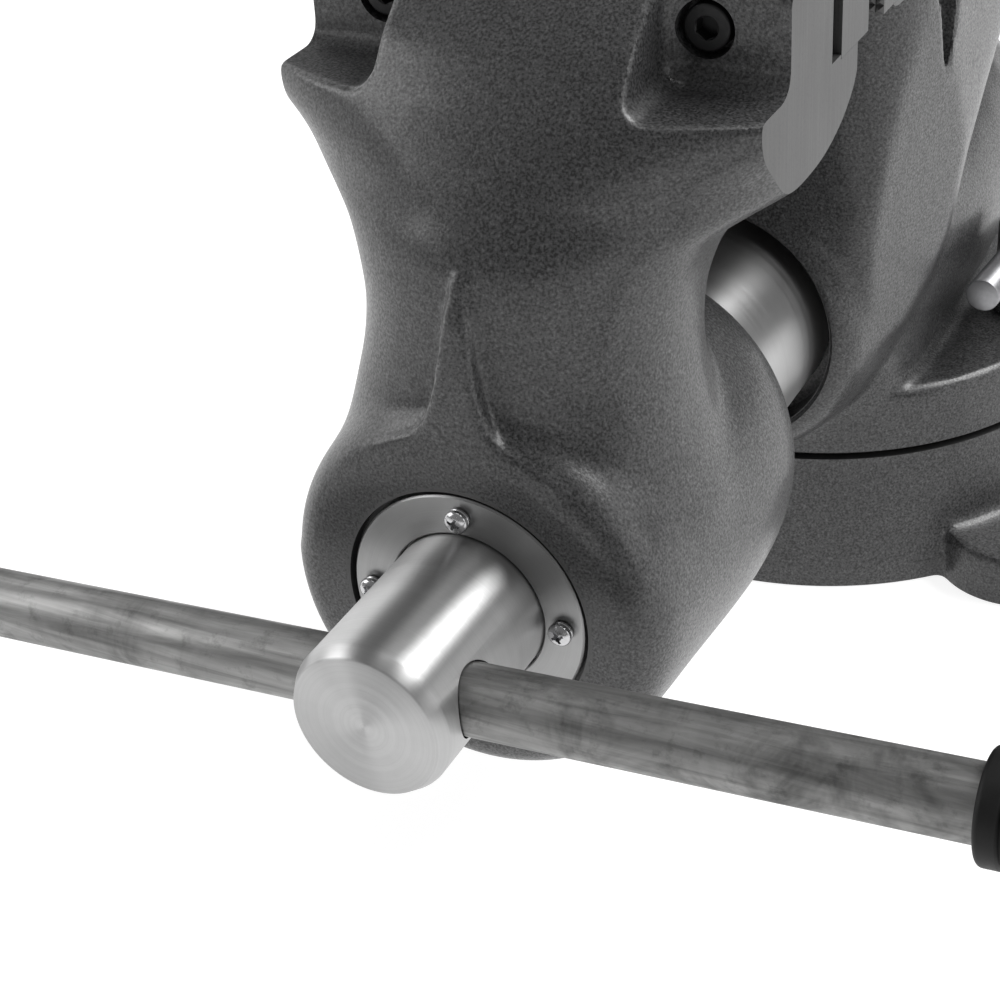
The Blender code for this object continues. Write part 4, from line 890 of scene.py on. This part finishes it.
def socket_screw(name, body, node, sign, mirror, black):
    """Socket-head screw with a chamfered head and a hexagonal socket."""
    direction = (0, -1, 0) if mirror else (0, 1, 0)
    spot = (JAW_SCREW_X * sign, reflect(POCKET_FLOOR_Y, mirror), JAW_SCREW_Z)
    outline = [(0.6, 0), (0.6, JAW_SCREW_HEAD_R - 0.8)]
    outline += arc(1.4, JAW_SCREW_HEAD_R - 0.8, 0.8, 180, 90)[1:]
    outline += [(7.9, JAW_SCREW_HEAD_R), (7.9, JAW_SCREW_R), (52.0, JAW_SCREW_R), (53.5, JAW_SCREW_R - 1),
                (53.5, 0)]
    screw = turned(name, outline, spot, direction, 72)
    cut(screw, rod("socket", -2, 5, 3.3, spot, direction, 6),
        rod("socket_mouth", -2, 1.0, 5.4, spot, direction, 48, 3.0))
    clean(screw)
    return finish(screw, body, "black_screw", [node], black)


# --- spindle group -----------------------------------------------------------------------------
def plate_screw_spots():
    """Centres (x, z) of the four plate screws: top, right, bottom, left."""
    spots = []
    for step in range(4):
        angle = math.radians(90 - 90 * step)
        spots.append((PLATE_SCREW_CIRCLE_R * math.cos(angle),
                      SPINDLE_Z + PLATE_SCREW_CIRCLE_R * math.sin(angle)))
    return spots


def plate(steel):
    """Retaining plate with eased edges."""
    inner = HEAD_R + 0.5
    outline = [(0.4, inner), (0, inner + 0.4), (0, PLATE_R - 0.5), (0.5, PLATE_R), (PLATE_THICK, PLATE_R),
               (PLATE_THICK, inner)]
    ring = turned("retaining_plate_ring", outline, (0, PLATE_Y, SPINDLE_Z), Y_AXIS, 160)
    for x, z in plate_screw_spots():
        cut(ring, rod("screw_hole", -3, 9, PLATE_SCREW_R + 0.3, (x, PLATE_Y, z), Y_AXIS, 32))
    clean(ring)
    return finish(ring, "front_jaw", "turned_steel", ["retaining_plate"], steel)


def plate_fasteners(zinc):
    """Pan-head screws with cross recesses, each over a split washer."""
    for step, (name, (x, z)) in enumerate(zip(("top", "right", "bottom", "left"), plate_screw_spots())):
        spot = Vector((x, PLATE_Y, z))
        turn = math.radians((20, 65, 5, 50)[step])
        ring = [(-1.3, PLATE_SCREW_R + 0.3), (-1.3, 3.1), (-1.1, 3.3), (-0.5, 3.3), (-GAP, 3.1),
                (-GAP, PLATE_SCREW_R + 0.3)]
        washer = turned("plate_washer_split_" + name, ring, spot, Y_AXIS, 48)
        slit = box("slit", (-0.35, -3, 0), (0.35, 1, 5))
        slit.data.transform(Matrix.Translation(spot * MM) @ Matrix.Rotation(turn + 2.0, 4, "Y"))
        cut(washer, slit)
        clean(washer)
        finish(washer, "front_jaw", "bright_zinc", ["plate_washer_" + name], zinc)
        head = [(-4.2, 0), (-4.15, 1.0), (-3.9, 2.0), (-3.45, 2.9), (-2.9, PLATE_SCREW_HEAD_R - 0.1),
                (-2.5, PLATE_SCREW_HEAD_R), (-1.7, PLATE_SCREW_HEAD_R), (-1.6, PLATE_SCREW_HEAD_R - 0.1),
                (-1.6, PLATE_SCREW_R), (10.4, PLATE_SCREW_R), (11.0, 1.4), (11.0, 0)]
        screw = turned("plate_screw_cross_" + name, head, spot, Y_AXIS, 48)
        for arm in (0, math.pi / 2):
            blade = box("blade", (-1.9, -6, -0.42), (1.9, -2.5, 0.42))
            blade.data.transform(Matrix.Translation(spot * MM) @ Matrix.Rotation(turn + arm, 4, "Y"))
            cut(screw, blade)
        cut(screw, rod("point", -6, -2.3, 2.3, spot, Y_AXIS, 4, 0.4))
        clean(screw)
        finish(screw, "front_jaw", "bright_zinc", ["plate_screw_" + name], zinc)


def spindle(steel):
    """Spindle: drilled head with a chamfered face, trapped collar, journal and its screw thread."""
    face = HEAD_FRONT_Y - PLATE_Y
    end = SPINDLE_HIGH.y - PLATE_Y
    outline = [(face, 0), (face, HEAD_R - 2.6), (face + 0.15, HEAD_R - 2.2), (face + 0.5, HEAD_R - 1.8),
               (face + 3.9, HEAD_R - 0.15), (face + 4.6, HEAD_R), (4.6, HEAD_R), (4.6, COLLAR_R),
               (14.0, COLLAR_R), (14.0, JOURNAL_R), (28.0, JOURNAL_R), (31.0, THREAD_R)]
    count = int((end - 38.0) / THREAD_LEAD)
    for turn in range(count):
        start = 36.0 + turn * THREAD_LEAD
        outline += [(start, THREAD_R), (start + 0.7, THREAD_R - THREAD_DEPTH),
                    (start + 3.0, THREAD_R - THREAD_DEPTH), (start + 3.7, THREAD_R)]
    outline += [(end - 2.0, THREAD_R), (end, THREAD_R - 2.0), (end, 0)]
    piece = turned("spindle_screw", outline, (0, PLATE_Y, SPINDLE_Z), Y_AXIS, 160)
    direction = (math.cos(HANDLE_TILT), 0, math.sin(HANDLE_TILT))
    spot = (0, HANDLE_Y, SPINDLE_Z)
    cut(piece, rod("cross_hole", -60, 60, HANDLE_R + 0.5, spot, direction, 96))
    clean(piece)
    return finish(piece, "spindle", "turned_steel", ["spindle"], steel)


def slide_bar(steel):
    """Slide bar with a chamfered rear end and its keyway."""
    start = BAR_LOW.y
    end = BAR_HIGH.y
    outline = [(start, SLIDE_BAR_BORE_R), (start, SLIDE_BAR_R), (end - 1.5, SLIDE_BAR_R),
               (end, SLIDE_BAR_R - 1.5), (end, SLIDE_BAR_BORE_R)]
    bar = turned("slide_bar_tube", outline, (0, 0, SPINDLE_Z), Y_AXIS, 192)
    cut(bar, box("keyway", (-5.2, -150, 60), (5.2, 90, SPINDLE_Z - 33.8)))
    clean(bar)
    return finish(bar, "front_jaw", "turned_steel", ["slide_bar"], steel)


def handle(bar_steel, cap_rubber):
    """Tommy bar with a moulded cap on each end."""
    centre = (0, HANDLE_Y, SPINDLE_Z)
    direction = Vector((math.cos(HANDLE_TILT), 0, math.sin(HANDLE_TILT)))
    outline = [(-HANDLE_HALF, 0), (-HANDLE_HALF, HANDLE_R - 1.2), (-HANDLE_HALF + 1.2, HANDLE_R),
               (HANDLE_HALF - 1.2, HANDLE_R), (HANDLE_HALF, HANDLE_R - 1.2), (HANDLE_HALF, 0)]
    bar = turned("handle_rod", outline, centre, direction, 96)
    finish(bar, "handle", "raw_bar_steel", ["handle_bar"], bar_steel)
    shell = [(CAP_INNER, HANDLE_R + GAP), (CAP_INNER, CAP_R - 1.6)]
    shell += arc(CAP_INNER + 1.6, CAP_R - 1.6, 1.6, 180, 90)[1:]
    shell += [(CAP_INNER + 5.5, CAP_R), (CAP_INNER + 6.3, CAP_R - 0.7), (CAP_INNER + 7.1, CAP_R)]
    shell += arc(HANDLE_HALF - 0.8, CAP_R - 4.8, 4.8, 90, 0, 10)
    shell += [(HANDLE_HALF + 4, 0), (HANDLE_HALF + GAP, 0), (HANDLE_HALF + GAP, HANDLE_R + GAP)]
    for name, sign in (("left", -1), ("right", 1)):
        cap = turned("handle_cap_moulded_" + name, shell, centre, direction * sign, 96)
        finish(cap, "handle", "rubber", ["handle_cap_" + name], cap_rubber)


# --- swivel locks ------------------------------------------------------------------------------
def swivel_lock(name, sign, steel, zinc):
    """Tall round lock nut and the lever fixed in it."""
    centre = (LOCK_X * sign, 0, 0)
    stud_top = STUD_HIGH.z
    outline = [(NUT_LOW.z, STUD_R + 0.2), (NUT_LOW.z, LOCK_NUT_R - 0.8), (NUT_LOW.z + 0.8, LOCK_NUT_R)]
    outline += arc(LOCK_NUT_TOP_Z - 2.4, LOCK_NUT_R - 2.4, 2.4, 90, 0)
    outline += [(LOCK_NUT_TOP_Z, 0), (stud_top + 0.5, 0), (stud_top + 0.5, STUD_R + 0.2)]
    nut = turned("lock_nut_round_" + name, outline, centre, Z_AXIS, 96)
    direction = Vector((-math.sin(LEVER_TOE_IN), -math.cos(LEVER_TOE_IN), 0)) * sign
    pivot = (LOCK_X * sign, 0, LEVER_Z)
    cut(nut, rod("lever_hole", -5.0, 40, LEVER_R + 0.2, pivot, direction, 64))
    clean(nut)
    finish(nut, "lock_" + name, "turned_steel", ["lock_nut_" + name], steel)
    rod_outline = [(-4.5, 0), (-4.5, LEVER_R), (LEVER_LENGTH - 0.6, LEVER_R)]
    rod_outline += [(LEVER_LENGTH - 0.2, LEVER_R - 0.2), (LEVER_LENGTH, LEVER_R - 0.6), (LEVER_LENGTH, 0)]
    lever = turned("lock_lever_rod_" + name, rod_outline, pivot, direction, 72)
    finish(lever, "lock_" + name, "bright_zinc", ["lock_lever_" + name], zinc)


# --- studio ------------------------------------------------------------------------------------
FLOOR_GLOW = 0.84
SKY_GLOW = 0.22
AIM = (0.0, -0.15, 0.13)
# Soft lights: (name, place, width, height, power), all in metres and watts.
LIGHTS = [
    ("key", (1.05, 0.66, 1.80), 1.6, 0.9, 49),
    ("right", (1.7, 0.0, 0.6), 1.4, 0.8, 5),
    ("left", (-1.6, 0.2, 0.75), 1.8, 1.5, 11),
    ("front_left", (-0.95, -0.75, 0.75), 0.6, 0.6, 4.5),
    ("overhead", (0.1, 0.0, 2.2), 0.7, 0.7, 3.5),
]
CAMERA_AT = Vector((0.244917, -0.718442, 0.451917))
AZIMUTH = math.radians(29.77)
ELEVATION = math.radians(32.64)
ROLL = math.radians(-4.55)
LENS = 76.78
SHIFT_X = 0.0287
SHIFT_Y = 0.0191


def place_camera():
    """Camera above and to the right of the spindle, looking down at the front jaw."""
    right = Vector((math.cos(AZIMUTH), math.sin(AZIMUTH), 0.0))
    back = Vector((math.sin(AZIMUTH) * math.cos(ELEVATION), -math.cos(AZIMUTH) * math.cos(ELEVATION),
                   math.sin(ELEVATION)))
    up = back.cross(right)
    across = right * math.cos(ROLL) + up * math.sin(ROLL)
    upward = up * math.cos(ROLL) - right * math.sin(ROLL)
    data = bpy.data.cameras.new("camera")
    data.lens = LENS
    data.sensor_width = 36.0
    data.shift_x = SHIFT_X
    data.shift_y = SHIFT_Y
    data.clip_start = 0.01
    camera = new_object("camera", data)
    camera.matrix_world = Matrix(((across.x, upward.x, back.x, CAMERA_AT.x),
                                  (across.y, upward.y, back.y, CAMERA_AT.y),
                                  (across.z, upward.z, back.z, CAMERA_AT.z), (0, 0, 0, 1)))
    bpy.context.scene.camera = camera


def softbox(name, spot, width, height, power):
    """A rectangular soft light that faces the vise."""
    data = bpy.data.lights.new(name, "AREA")
    data.shape = "RECTANGLE"
    data.size = width
    data.size_y = height
    data.energy = power
    lamp = new_object(name, data)
    lamp.location = spot
    lamp.rotation_euler = (Vector(AIM) - Vector(spot)).to_track_quat("-Z", "Y").to_euler()


def studio():
    """White floor and soft light from above, both sides and behind."""
    world = bpy.data.worlds.new("studio")
    world.use_nodes = True
    background = world.node_tree.nodes["Background"]
    background.inputs["Color"].default_value = (1, 1, 1, 1)
    background.inputs["Strength"].default_value = SKY_GLOW
    bpy.context.scene.world = world
    bpy.context.scene.view_settings.view_transform = "Standard"
    for light in LIGHTS:
        softbox(*light)
    bpy.ops.mesh.primitive_plane_add(size=30, location=(0, 0, -0.0005))
    floor = bpy.context.object
    floor.name = "floor"
    floor.data.materials.append(studio_floor())


# --- assembly ----------------------------------------------------------------------------------
def paint_nodes(names, material):
    """Give frame nodes that are shown as they are their material."""
    for name in names:
        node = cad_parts[name]
        node.data.materials.clear()
        node.data.materials.append(material)


def build():
    """Build every piece."""
    paint = hammered_paint()
    bare = milled_steel("machined_cast_iron", 0.10)
    insert_steel = milled_steel("insert_steel", 0.105)
    bright = turned_steel("bright_turned_steel", 0.48, 0.42, 0.85)
    plate_steel = turned_steel("faced_plate_steel", 0.345, 0.38, 0.5)
    ground = turned_steel("ground_bar_steel", 0.50, 0.34, 0.6, 0.02)
    dull = plain_metal("dull_lever_steel", (0.32, 0.32, 0.33), 1.0, 0.42)
    zinc = plain_metal("bright_zinc_plate", (0.62, 0.62, 0.63), 1.0, 0.24)
    black = plain_metal("black_oxide", (0.008, 0.008, 0.0085), 0.3, 0.45)
    bronze = plain_metal("cast_bronze", (0.45, 0.29, 0.12), 1.0, 0.38, 400.0)

    front_casting(paint, bare)
    rear_casting(paint, bare)
    base_casting(paint, bare)
    for side, body, mirror in (("front", "front_jaw", False), ("rear", "rear_body", True)):
        serrated_insert(side + "_insert_serrated", body, side + "_jaw_insert", mirror, insert_steel)
        for name, sign in (("left", -1), ("right", 1)):
            node = side + "_jaw_screw_" + name
            socket_screw(side + "_socket_screw_" + name, body, node, sign, mirror, black)
    plate(plate_steel)
    plate_fasteners(zinc)
    spindle(bright)
    slide_bar(ground)
    handle(raw_bar_steel(), rubber())
    for name, sign in (("left", -1), ("right", 1)):
        swivel_lock(name, sign, bright, dull)
    paint_nodes(("thrust_washer", "spindle_nut"), bronze)
    paint_nodes(("nut_screw", "slide_key_screw"), black)
    paint_nodes(("nut_washer", "nut_dowel", "slide_key", "lock_stud_left", "lock_stud_right",
                 "lock_washer_left", "lock_washer_right"), zinc)


place_camera()
studio()
build()
